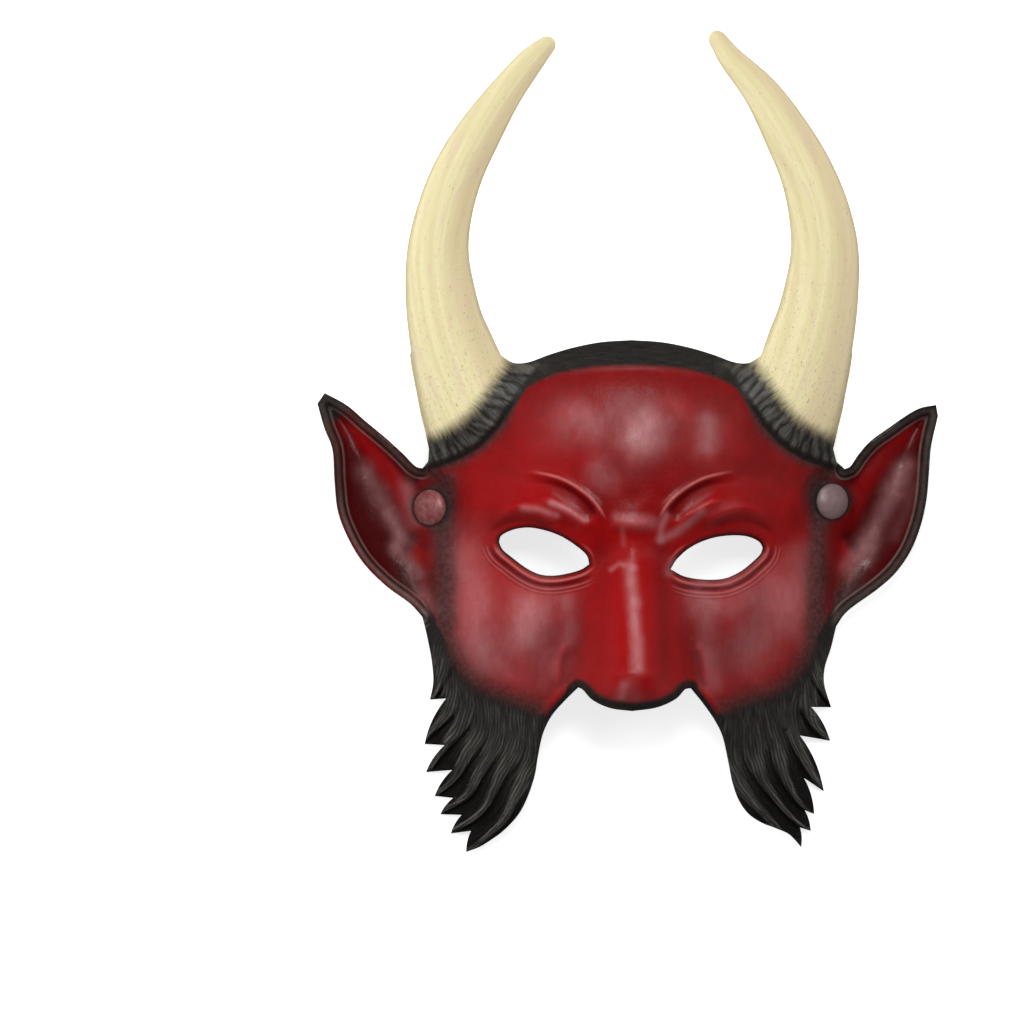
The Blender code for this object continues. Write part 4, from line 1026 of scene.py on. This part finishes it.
def mask_mesh():
    """One closed body: the front with its relief, the plain inner face, and the wall between them."""
    rims = loops(RIM_STEP, HORN_STEP)
    front = face_points(rims, snap_holes(0.0))
    inner = inside_points(rims, snap_holes(WALL), front)
    verts, faces, rings, carried = [], [], [], []
    for face, points, depth in ((0, front, 0.0), (1, inner, WALL)):
        places, triangles, ring, edges = sheet(rims + snap_holes(depth), points)
        x, y = places.T
        height = faces_of(x, y, rims)[face]
        rim = edge_distance(x, y, rims + snap_holes(depth))
        if face == 0:
            relief, lift = fine_relief(x, y, rim)
            height = height + relief
        a, b, c = places[triangles].transpose(1, 0, 2)
        upward = np.cross(b - a, c - a) > 0
        flip = upward if face else ~upward
        triangles[flip] = triangles[flip][:, ::-1]
        first = len(verts[0]) if verts else 0
        rings.append([first + i for i in ring])
        faces += (triangles + first).tolist()
        verts.append(np.stack([x, y, height], axis=1))
        carried.append({"rim": rim, "lift": lift if face == 0 else 0 * x})
    for a, b in edges:
        faces.append((rings[1][a], rings[1][b], rings[0][b], rings[0][a]))
    return np.vstack(verts), faces, carried


def finish_faces(mesh, sharp_angle):
    """Turns a closed mesh's faces outwards and shades them smooth up to the sharp angle."""
    work = bmesh.new()
    work.from_mesh(mesh)
    bmesh.ops.recalc_face_normals(work, faces=work.faces)
    work.to_mesh(mesh)
    work.free()
    mesh.shade_smooth()
    mesh.set_sharp_from_angle(angle=sharp_angle)


def add_piece(name, mesh, finish):
    """Adds a mesh to the scene as a piece that rides with the mask's body."""
    made = bpy.data.objects.new(name, mesh)
    bpy.context.scene.collection.objects.link(made)
    mesh.materials.append(finish)
    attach(made, "root")
    return made


def put(mesh, name, values):
    """Stores one number or one vector for each point of a mesh."""
    flat = values.ndim == 1
    made = mesh.attributes.new(name, "FLOAT" if flat else "FLOAT_VECTOR", "POINT")
    made.data.foreach_set("value" if flat else "vector", values.astype(np.float32).ravel())


def laid(points):
    """Drawn millimetres to metres on the surface that the mask lies on."""
    return (points + SHIFT) * MM


verts, faces, carried = mask_mesh()
low, high = (np.array(corner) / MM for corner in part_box("mask"))
middle = (verts.min(axis=0) + verts.max(axis=0)) / 2
# From the drawing's middle to the middle of the solid's box, and down to the surface that it lies on
SHIFT = np.array([*((low + high) / 2 - middle)[:2], low[2] - verts[:, 2].min()])
mesh = bpy.data.meshes.new("mask_skin")
mesh.from_pydata(laid(verts), [], faces)
finish_faces(mesh, MASK_SHARP_ANGLE)

x, y, _ = verts.T
rim = np.concatenate([part["rim"] for part in carried])
count = len(carried[0]["rim"])
# How far each front point lies below its surroundings, which the paint turns into painted shade and painted
# highlights
dip = np.zeros(len(x))
dip[:count] = hollow(x[:count], y[:count])
for name, values in mask_paint(x, y, rim, dip).items():
    put(mesh, name, values)
behind = np.zeros(len(x))
behind[count:] = 1 - ease((y[count:] - brow_rim(x[count:]) - 2) / 6) * on_horn(x[count:], y[count:])
put(mesh, "behind", behind)
put(mesh, "lift", np.concatenate([part["lift"] for part in carried]))
lock, across, along, closest, share = beard_grain(x, y)
c, q = collar_grain(x, y)
near_collar = (collar_depth(x, y) > -6) & (y > 20)
bearded = y < -20
fur_across = np.where(near_collar, c, np.where(bearded, across + 7.3 * lock, y))
fur_along = np.where(near_collar, q, np.where(bearded, along, x))
fur = np.stack([fur_across, fur_along, 0 * x], axis=1)
put(mesh, "fur", fur)
hx, hy, width = horn_grain(x, y)
put(mesh, "horn", np.stack([hx, hy, hx / np.maximum(width, 0.5) * np.sign(x)], axis=1))


def linear(*colour):
    """A colour of 0 to 255 as the shader's light values."""
    shares = [c / 255 for c in colour]
    return tuple(s / 12.92 if s <= 0.04045 else ((s + 0.055) / 1.055) ** 2.4 for s in shares) + (1.0,)


# Paints
RED_DARK = linear(124, 7, 10)
RED = linear(154, 9, 13)
RED_BRIGHT = linear(162, 8, 11)
MAROON = linear(74, 6, 9)
RED_PAINTED_CREASE_SHADE = linear(62, 3, 6)
RED_PAINTED_RIDGE_LIGHT = linear(182, 22, 26)
RED_SPECKS = linear(80, 5, 8)
# Pale pink of the painted sheen patches, which stand in for highlights
SHEEN_PINK = linear(206, 148, 150)
LID_CREASE_SHADE = linear(82, 5, 9)
LID_HIGHLIGHT_PINK = linear(200, 118, 114)
SMOKE_DARK = linear(46, 34, 33)
SMOKE = linear(78, 56, 56)
EAR_RIM_HIGHLIGHT = linear(146, 126, 120)
FUR_DARK = linear(27, 25, 23)
FUR = linear(50, 47, 44)
FUR_PAINTED_SHEEN = linear(112, 110, 104)
FUR_PAINTED_GAP_SHADE = linear(13, 12, 11)
IVORY = linear(226, 214, 164)
IVORY_PALE = linear(236, 225, 180)
IVORY_SHADED_SIDE = linear(222, 200, 160)
IVORY_FLUTES = linear(206, 188, 136)
IVORY_BLUSH = linear(226, 198, 178)
IVORY_PITS = linear(108, 92, 64)
IVORY_FLECKS = linear(188, 128, 128)
IVORY_EDGE_SHADE = linear(150, 132, 104)
FOAM_DARK = linear(30, 29, 30)
FOAM = linear(46, 44, 45)
CAP_RED = linear(138, 60, 62)
CAP_GREY = linear(132, 112, 111)
CAP_WORN = linear(162, 130, 128)
CARD_SHADE = linear(247, 247, 247)
CARD = linear(250, 250, 250)


class Term:
    """A value in a node tree; arithmetic on it adds Math nodes."""

    def __init__(self, nodes, socket):
        self.nodes, self.socket = nodes, socket

    def maths(self, operation, *values):
        return self.nodes.node("ShaderNodeMath", {"operation": operation}, dict(enumerate(values)))

    def __add__(self, other):
        return self.maths("ADD", self, other)

    def __sub__(self, other):
        return self.maths("SUBTRACT", self, other)

    def __rsub__(self, other):
        return self.maths("SUBTRACT", other, self)

    def __mul__(self, other):
        return self.maths("MULTIPLY", self, other)

    def __truediv__(self, other):
        return self.maths("DIVIDE", self, other)

    __radd__, __rmul__ = __add__, __mul__


class Nodes:
    """A node tree, and one way to add any node to it."""

    def __init__(self, tree):
        self.tree = tree

    def node(self, kind, settings=(), sockets=(), output=0):
        made = self.tree.nodes.new(kind)
        for key, value in dict(settings).items():
            if key == "points":
                curve = made.mapping.curves[0].points
                for place in value[1:-1]:
                    curve.new(*place)
                for point, place in zip(curve, value):
                    point.location, point.handle_type = place, "VECTOR"
                made.mapping.update()
            else:
                setattr(made, key, value)
        self.connect(made, dict(sockets))
        return Term(self, made.outputs[output])

    def connect(self, made, sockets):
        for key, value in sockets.items():
            if isinstance(value, Term):
                self.tree.links.new(value.socket, made.inputs[key])
            else:
                made.inputs[key].default_value = value

    def parts(self, vector):
        """The three numbers of a vector."""
        made = self.node("ShaderNodeSeparateXYZ", (), {0: vector}).socket.node
        return [Term(self, output) for output in made.outputs]


class Finish(Nodes):
    """A material, and the nodes that make its look."""

    def __init__(self, name, **constants):
        self.material = bpy.data.materials.new(name)
        self.material.use_nodes = True
        super().__init__(self.material.node_tree)
        self.shader = self.tree.nodes["Principled BSDF"]
        self.connect(self.shader, {socket.replace("_", " "): value for socket, value in constants.items()})

    def attribute(self, name, vector=False):
        output = "Vector" if vector else "Fac"
        return self.node("ShaderNodeAttribute", {"attribute_name": name}, output=output)

    def place(self):
        return self.node("ShaderNodeTexCoord", output="Object")

    def stretched(self, vector, *scale):
        return self.node("ShaderNodeVectorMath", {"operation": "MULTIPLY"}, {0: vector, 1: scale})

    def noise(self, vector, scale, detail=3.0, rough=0.55, twist=0.0):
        sockets = {"Vector": vector, "Scale": scale, "Detail": detail, "Roughness": rough,
                   "Distortion": twist}
        return self.node("ShaderNodeTexNoise", (), sockets)

    def step(self, value, low, high):
        """0 where value is low, 1 where it is high, smooth between."""
        settings = {"interpolation_type": "SMOOTHSTEP"}
        return self.node("ShaderNodeMapRange", settings, {"Value": value, "From Min": low, "From Max": high})

    def line(self, distance, place, reach):
        """A soft line where distance is place."""
        apart = distance - place
        return 1 - self.step(apart.maths("ABSOLUTE", apart), 0, reach)

    def mix(self, share, base, other):
        settings = {"data_type": "RGBA", "clamp_factor": True}
        return self.node("ShaderNodeMix", settings, {0: share, 6: base, 7: other}, 2)

    def blend(self, share, base, other):
        """A number between two numbers."""
        settings = {"data_type": "FLOAT", "clamp_factor": True}
        return self.node("ShaderNodeMix", settings, {0: share, 2: base, 3: other})

    def bump(self, height, distance, strength=1.0):
        return self.node("ShaderNodeBump", (), {"Height": height, "Distance": distance, "Strength": strength})

    def finish(self, **links):
        self.connect(self.shader, {name.replace("_", " "): value for name, value in links.items()})
        return self.material


def painted_foam():
    """The mask's one finish: red skin, black fur and edges, ivory horns, and bare foam inside."""
    f = Finish("painted_foam", IOR=1.5, Specular_IOR_Level=0.3)
    place = f.place()
    collar, black, haze = f.attribute("collar"), f.attribute("black"), f.attribute("haze")
    deep, dip, behind, lift, glow = (f.attribute(name) for name in ("deep", "dip", "behind", "lift", "glow"))
    bloom = f.attribute("bloom")
    eyes, lid, _ = f.parts(f.attribute("eye", True))
    outer, eared, rimmed = f.parts(f.attribute("ear", True))
    under, crest, _ = f.parts(f.attribute("brow", True))
    fur, horn = f.attribute("fur", True), f.attribute("horn", True)
    cloud = f.noise(place, 24, 4, 0.6)
    speck = f.noise(place, 520, 3, 0.7)
    spray = f.noise(place, 210, 5, 0.75) - 0.5
    brushed = f.noise(f.stretched(place, 900, 260, 260), 1.0, 3, 0.6)

    # Red skin: uneven darker and brighter red, brighter round the eyes and on the nose, painted shade in the
    # hollows and creases, painted highlights on the ridges, and darker specks
    red = f.mix(f.step(cloud, 0.34, 0.68), RED_DARK, RED)
    red = f.mix(glow * 0.6, red, RED_BRIGHT)
    # Maroon: painted shade in the hollows, round the snaps and down the nose's flanks, and partly the ears'
    # own dark paint
    red = f.mix(f.step(deep + spray * 0.15, 0.02, 1.0), red, MAROON)
    # Painted shade: darker red where the carved front lies below its surroundings; painted highlight: lighter
    # red on its ridges
    red = f.mix(f.step(dip, 0.04, 0.9) * 0.45, red, RED_PAINTED_CREASE_SHADE)
    red = f.mix(f.step(0 - dip, 0.05, 0.5) * 0.25, red, RED_PAINTED_RIDGE_LIGHT)
    red = f.mix(f.step(speck, 0.55, 0.75) * 0.25, red, RED_SPECKS)
    # Painted sheen: pale pink where highlights fall on the satin paint
    sheen_amount = bloom * (0.75 + 0.4 * brushed) * (1 + spray * 0.5)
    red = f.mix(sheen_amount * 0.8, red, SHEEN_PINK)
    # Painted shade in the creases under the eyes
    groove = f.line(eyes, 4.1, 1.6) + f.line(eyes, 6.5, 0.8) * 0.5 + f.line(eyes, 8.0, 0.7) * 0.4
    red = f.mix(groove * lid * 0.75, red, LID_CREASE_SHADE)
    smoke = f.mix(f.step(speck, 0.35, 0.7), SMOKE_DARK, SMOKE)
    red = f.mix(f.step(haze + spray * 0.12, 0.02, 0.98) * 0.9, red, smoke)

    # Black fur and airbrushed edges, with painted sheen in grey on the backs of the strands and painted shade
    # in the gaps between locks
    hairs = f.noise(f.stretched(fur, 2.4, 0.13, 1), 1.0, 4, 0.65)
    char = f.mix(f.step(hairs, 0.36, 0.68), FUR_DARK, FUR)
    char = f.mix(f.step(lift, 0.05, 0.95) * f.step(hairs, 0.22, 0.62) * 0.8, char, FUR_PAINTED_SHEEN)
    char = f.mix(f.step(0 - lift, 0.0, 1.0) * 0.8, char, FUR_PAINTED_GAP_SHADE)
    dark = f.step(black + spray * 0.22, 0.14, 0.86)
    skin = f.mix(dark, red, char)
    # Painted highlights: pale pink lines along the lower lids' ridges and along the brow's crest
    lids = f.line(eyes, 2.3, 0.9) + f.line(eyes, 5.7, 0.65) * 0.6 + f.line(eyes, 7.3, 0.55) * 0.45
    highlight_share = lids * lid * 0.65 + f.line(under, -0.4, 1.05) * crest * 0.9
    skin = f.mix(highlight_share * (0.85 + spray), skin, LID_HIGHLIGHT_PINK)
    # Painted highlights: pale lines along the ears' raised rims
    edges = f.line(outer, 4.3, 0.75) * eared * 0.6 + f.line(outer, 2.0, 1.4) * rimmed * 0.6
    skin = f.mix(edges * (0.9 + spray * 1.6), skin, EAR_RIM_HIGHLIGHT)

    # Horns: ivory with greenish bands and pinkish blotches down them, pits, painted shade down each horn's
    # right-hand side and along its edges, and brushed fur at the foot
    streak = f.noise(f.stretched(horn, 0.34, 0.012, 0), 1.0, 3, 0.5)
    fine = f.noise(f.stretched(horn, 1.7, 0.10, 0), 1.0, 4, 0.65)
    blotch = f.noise(f.stretched(horn, 0.24, 0.05, 0), 1.0, 3, 0.6, 0.6)
    verge = f.parts(horn)[2]
    ivory = f.mix(f.step(streak, 0.36, 0.64), IVORY, IVORY_PALE)
    # Painted shade: tan down each horn's right-hand side, where it turns from the light
    ivory = f.mix(f.step(verge + streak * 0.5, 0.42, 0.72) * 0.6, ivory, IVORY_SHADED_SIDE)
    ivory = f.mix(f.step(fine, 0.5, 0.75) * 0.3, ivory, IVORY_FLUTES)
    ivory = f.mix(f.step(blotch, 0.52, 0.7) * 0.5, ivory, IVORY_BLUSH)
    low = f.step(0 - collar, -85, -5)
    pits = f.noise(f.stretched(horn, 1.3, 0.5, 0), 1.0, 2, 0.8)
    ivory = f.mix(f.step(pits, 0.62, 0.69) * low * 0.7, ivory, IVORY_PITS)
    pink = f.noise(f.stretched(horn, 0.5, 0.2, 0), 1.0, 3, 0.75)
    ivory = f.mix(f.step(pink, 0.62, 0.70) * 0.5, ivory, IVORY_FLECKS)
    # Painted shade along the horns' edges
    edge_shade = f.step(verge.maths("ABSOLUTE", verge) + spray * 0.1, 0.86, 1.02)
    ivory = f.mix(edge_shade * 0.5, ivory, IVORY_EDGE_SHADE)
    strand = f.noise(f.stretched(fur, 1.1, 0.16, 0), 1.0, 4, 0.7) - 0.5
    bare = f.step(collar + strand * 7, 7.6, 15.5)
    colour = f.mix(bare, skin, ivory)

    # The bare foam of the inner face
    foam = f.mix(f.step(f.noise(place, 900, 2, 0.6), 0.35, 0.65), FOAM_DARK, FOAM)
    colour = f.mix(behind, colour, foam)

    # Gloss and the skin's fine grain
    gloss = f.blend(dark, 0.30, 0.40) + speck * 0.10 + spray * 0.12
    gloss = f.blend(f.step(deep, 0.5, 0.9), gloss, 0.24)
    gloss = f.blend(f.step(haze, 0.2, 0.9), gloss, 0.5)
    gloss = f.blend(bare, gloss, 0.52 + fine * 0.1)
    gloss = f.blend(behind, gloss, 0.85)
    pores = f.noise(place, 1300, 3, 0.65)
    leather = f.noise(place, 430, 4, 0.6, 0.8)
    hairline = f.noise(f.stretched(fur, 3.2, 0.2, 1), 1.0, 4, 0.6)
    relief = f.blend(dark, leather * 0.75 + pores * 0.35 + brushed * 0.35, hairline * 1.5 + leather * 0.3)
    relief = f.blend(bare, relief, fine * 0.9 + pores * 0.15 - f.step(pits, 0.64, 0.72) * 0.5)
    normal = f.bump(relief, 0.00022, 0.8)
    return f.finish(Base_Color=colour, Roughness=gloss, Normal=normal)


mask = add_piece("mask_skin", mesh, painted_foam())
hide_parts("mask")


def snap_metal():
    """Painted metal, redder on the left button than on the right one, with worn patches."""
    f = Finish("snap_metal", Metallic=0.2)
    place = f.place()
    worn = f.noise(place, 420, 4, 0.6)
    side = f.parts(place)[0]
    paint = f.mix(f.step(side, -0.01, 0.01), CAP_RED, CAP_GREY)
    colour = f.mix(f.step(worn, 0.3, 0.75) * 0.5, paint, CAP_WORN)
    roughness = f.noise(place, 900, 3, 0.6) * 0.16 + 0.34
    normal = f.bump(f.noise(place, 1600, 3, 0.6), 0.00003, 0.5)
    return f.finish(Base_Color=colour, Roughness=roughness, Normal=normal)


CAP_ROWS = 44
CAP_SIDES = 72
# The cap's profile from the end of its post to the top of its dome: the place on it, then the shares
# of the radius and of the height
CAP_PROFILE = [
    (0, 0, 0), (0.06, 0.26, 0), (0.16, 0.26, 0.6), (0.24, 0.93, 0.6), (0.28, 1, 0.645),
    (0.36, 1, 0.68), (0.42, 0.97, 0.725), (0.47, 0.92, 0.765), (0.54, 0.84, 0.815),
    (0.63, 0.71, 0.875), (0.74, 0.53, 0.935), (0.87, 0.28, 0.985), (1, 0, 1),
]


def turned_cap():
    """A node group that turns the cap's profile round its axis and lays the closed body on its seat."""
    group = bpy.data.node_groups.new("turned_cap", "GeometryNodeTree")
    ids = {}
    for name, kind in (("Radius", "Float"), ("Height", "Float"), ("Foot", "Float"), ("Seat", "Vector"),
                       ("Tilt", "Rotation"), ("Metal", "Material")):
        socket = group.interface.new_socket(name, in_out="INPUT", socket_type="NodeSocket" + kind)
        ids[name] = socket.identifier
    group.interface.new_socket("Geometry", in_out="OUTPUT", socket_type="NodeSocketGeometry")
    g = Nodes(group)
    given = group.nodes.new("NodeGroupInput")
    radius, height, foot, seat, tilt, metal = (Term(g, given.outputs[name]) for name in ids)
    sizes = {"Size X": 1.0, "Size Y": 1.0, "Vertices X": CAP_SIDES + 1, "Vertices Y": CAP_ROWS}
    grid = g.node("GeometryNodeMeshGrid", (), sizes)
    across, upward, _ = g.parts(g.node("GeometryNodeInputPosition"))
    turn = (across + 0.5) * (2 * math.pi)
    along = upward + 0.5
    widths = {"points": [(place, width) for place, width, _ in CAP_PROFILE]}
    levels = {"points": [(place, level) for place, _, level in CAP_PROFILE]}
    out = g.node("ShaderNodeFloatCurve", widths, {"Value": along}) * radius
    up = g.node("ShaderNodeFloatCurve", levels, {"Value": along}) * height
    spots = {0: turn.maths("COSINE", turn) * out, 1: turn.maths("SINE", turn) * out, 2: up + foot}
    spun = g.node("ShaderNodeCombineXYZ", (), spots)
    body = g.node("GeometryNodeSetPosition", (), {"Geometry": grid, "Position": spun})
    body = g.node("GeometryNodeMergeByDistance", (), {"Geometry": body, "Distance": 1e-6})
    body = g.node("GeometryNodeTransform", (), {"Geometry": body, "Translation": seat, "Rotation": tilt})
    body = g.node("GeometryNodeRealizeInstances", (), {"Geometry": body})
    body = g.node("GeometryNodeSetMaterial", (), {"Geometry": body, "Material": metal})
    g.connect(group.nodes.new("NodeGroupOutput"), {0: body})
    return group, ids


def snap_cap(word, side, group, ids, metal):
    """One turned cap on its seat, as a plain mesh in place of the solid one."""
    shell = bpy.data.objects.new("cap_maker", bpy.data.meshes.new("cap_maker"))
    bpy.context.scene.collection.objects.link(shell)
    maker = shell.modifiers.new("turned", "NODES")
    maker.node_group = group
    middle, normal = snap_frame(side)
    top = FACE_GAP + SNAP_CAP_RIM + SNAP_CAP_DOME
    end = -WALL - SNAP_BORE_DEPTH
    tilt = normal.to_track_quat("Z", "Y").to_euler()
    values = {"Radius": SNAP_CAP_RADIUS * MM, "Height": (top - end) * MM, "Foot": end * MM,
              "Seat": laid(np.array(middle)), "Tilt": tilt, "Metal": metal}
    for name, value in values.items():
        maker[ids[name]] = value
    depsgraph = bpy.context.evaluated_depsgraph_get()
    plain = bpy.data.meshes.new_from_object(shell.evaluated_get(depsgraph))
    bpy.data.objects.remove(shell)
    plain.materials.clear()
    finish_faces(plain, CAP_SHARP_ANGLE)
    cap = add_piece(f"snap_cap_{word}_turned", plain, metal)
    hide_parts(f"snap_cap_{word}")


metal = snap_metal()
group, ids = turned_cap()
for word, side in (("left", LEFT), ("right", RIGHT)):
    snap_cap(word, side, group, ids, metal)
    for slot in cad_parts[f"snap_stud_{word}"].material_slots:
        slot.material = metal

# The floor, the light and the camera, which looks straight down on the mask
FLOOR_REACH = 4.0
FLOOR_GLOW = 0.8
card = Finish("floor_card", Emission_Strength=FLOOR_GLOW)
tone = card.mix(card.noise(card.place(), 3, 2), CARD_SHADE, CARD)
card.finish(Base_Color=tone, Roughness=card.noise(card.place(), 40) * 0.05 + 0.85, Emission_Color=tone)
corners = [(-FLOOR_REACH, -FLOOR_REACH, 0), (FLOOR_REACH, -FLOOR_REACH, 0), (FLOOR_REACH, FLOOR_REACH, 0),
           (-FLOOR_REACH, FLOOR_REACH, 0)]
ground = bpy.data.meshes.new("floor")
ground.from_pydata(corners, [], [(0, 1, 2, 3)])
ground.materials.append(card.material)
floor = bpy.data.objects.new("floor", ground)
bpy.context.scene.collection.objects.link(floor)
floor.visible_glossy = False

LIGHT_DISTANCE = 1.3
LIT_SPOT = (0, 0.02, 0.04)
WORLD_LIGHT = 0.05


def softbox(name, lean, turn, size, power, mirrored=True):
    """A light that leans so many degrees from straight overhead, towards turn degrees from +X."""
    lean, turn = math.radians(lean), math.radians(turn)
    way = Vector((math.sin(lean) * math.cos(turn), math.sin(lean) * math.sin(turn), math.cos(lean)))
    light = bpy.data.lights.new(name, "AREA")
    light.shape, light.size, light.size_y, light.energy = "RECTANGLE", *size, power
    made = bpy.data.objects.new(name, light)
    made.location = way * LIGHT_DISTANCE + Vector(LIT_SPOT)
    made.rotation_euler = way.to_track_quat("Z", "Y").to_euler()
    made.visible_camera = False
    made.visible_glossy = mirrored
    bpy.context.scene.collection.objects.link(made)


softbox("top_light", 16, 90, (0.34, 0.34), 6.2)
softbox("brow_light", 44, 92, (0.30, 0.38), 3.4)
softbox("left_light", 54, 172, (0.7, 0.9), 8.6, False)
softbox("right_light", 54, 8, (0.7, 0.9), 4.6, False)

world = bpy.data.worlds.new("studio")
world.use_nodes = True
background = world.node_tree.nodes["Background"]
background.inputs["Color"].default_value = (1, 1, 1, 1)
background.inputs["Strength"].default_value = WORLD_LIGHT
bpy.context.scene.world = world
bpy.context.scene.view_settings.view_transform = "Standard"

VIEW_WIDTH = 0.435
VIEW_DISTANCE = 4.0
VIEW_LEVEL = 0.025
VIEW_MIDDLE = (-0.0492, -0.0303)
camera = bpy.data.cameras.new("camera")
camera.sensor_width = 36
camera.lens = camera.sensor_width * VIEW_DISTANCE / VIEW_WIDTH
camera.clip_end = 50
eye = bpy.data.objects.new("camera", camera)
eye.location = (*VIEW_MIDDLE, VIEW_LEVEL + VIEW_DISTANCE)
bpy.context.scene.collection.objects.link(eye)
bpy.context.scene.camera = eye
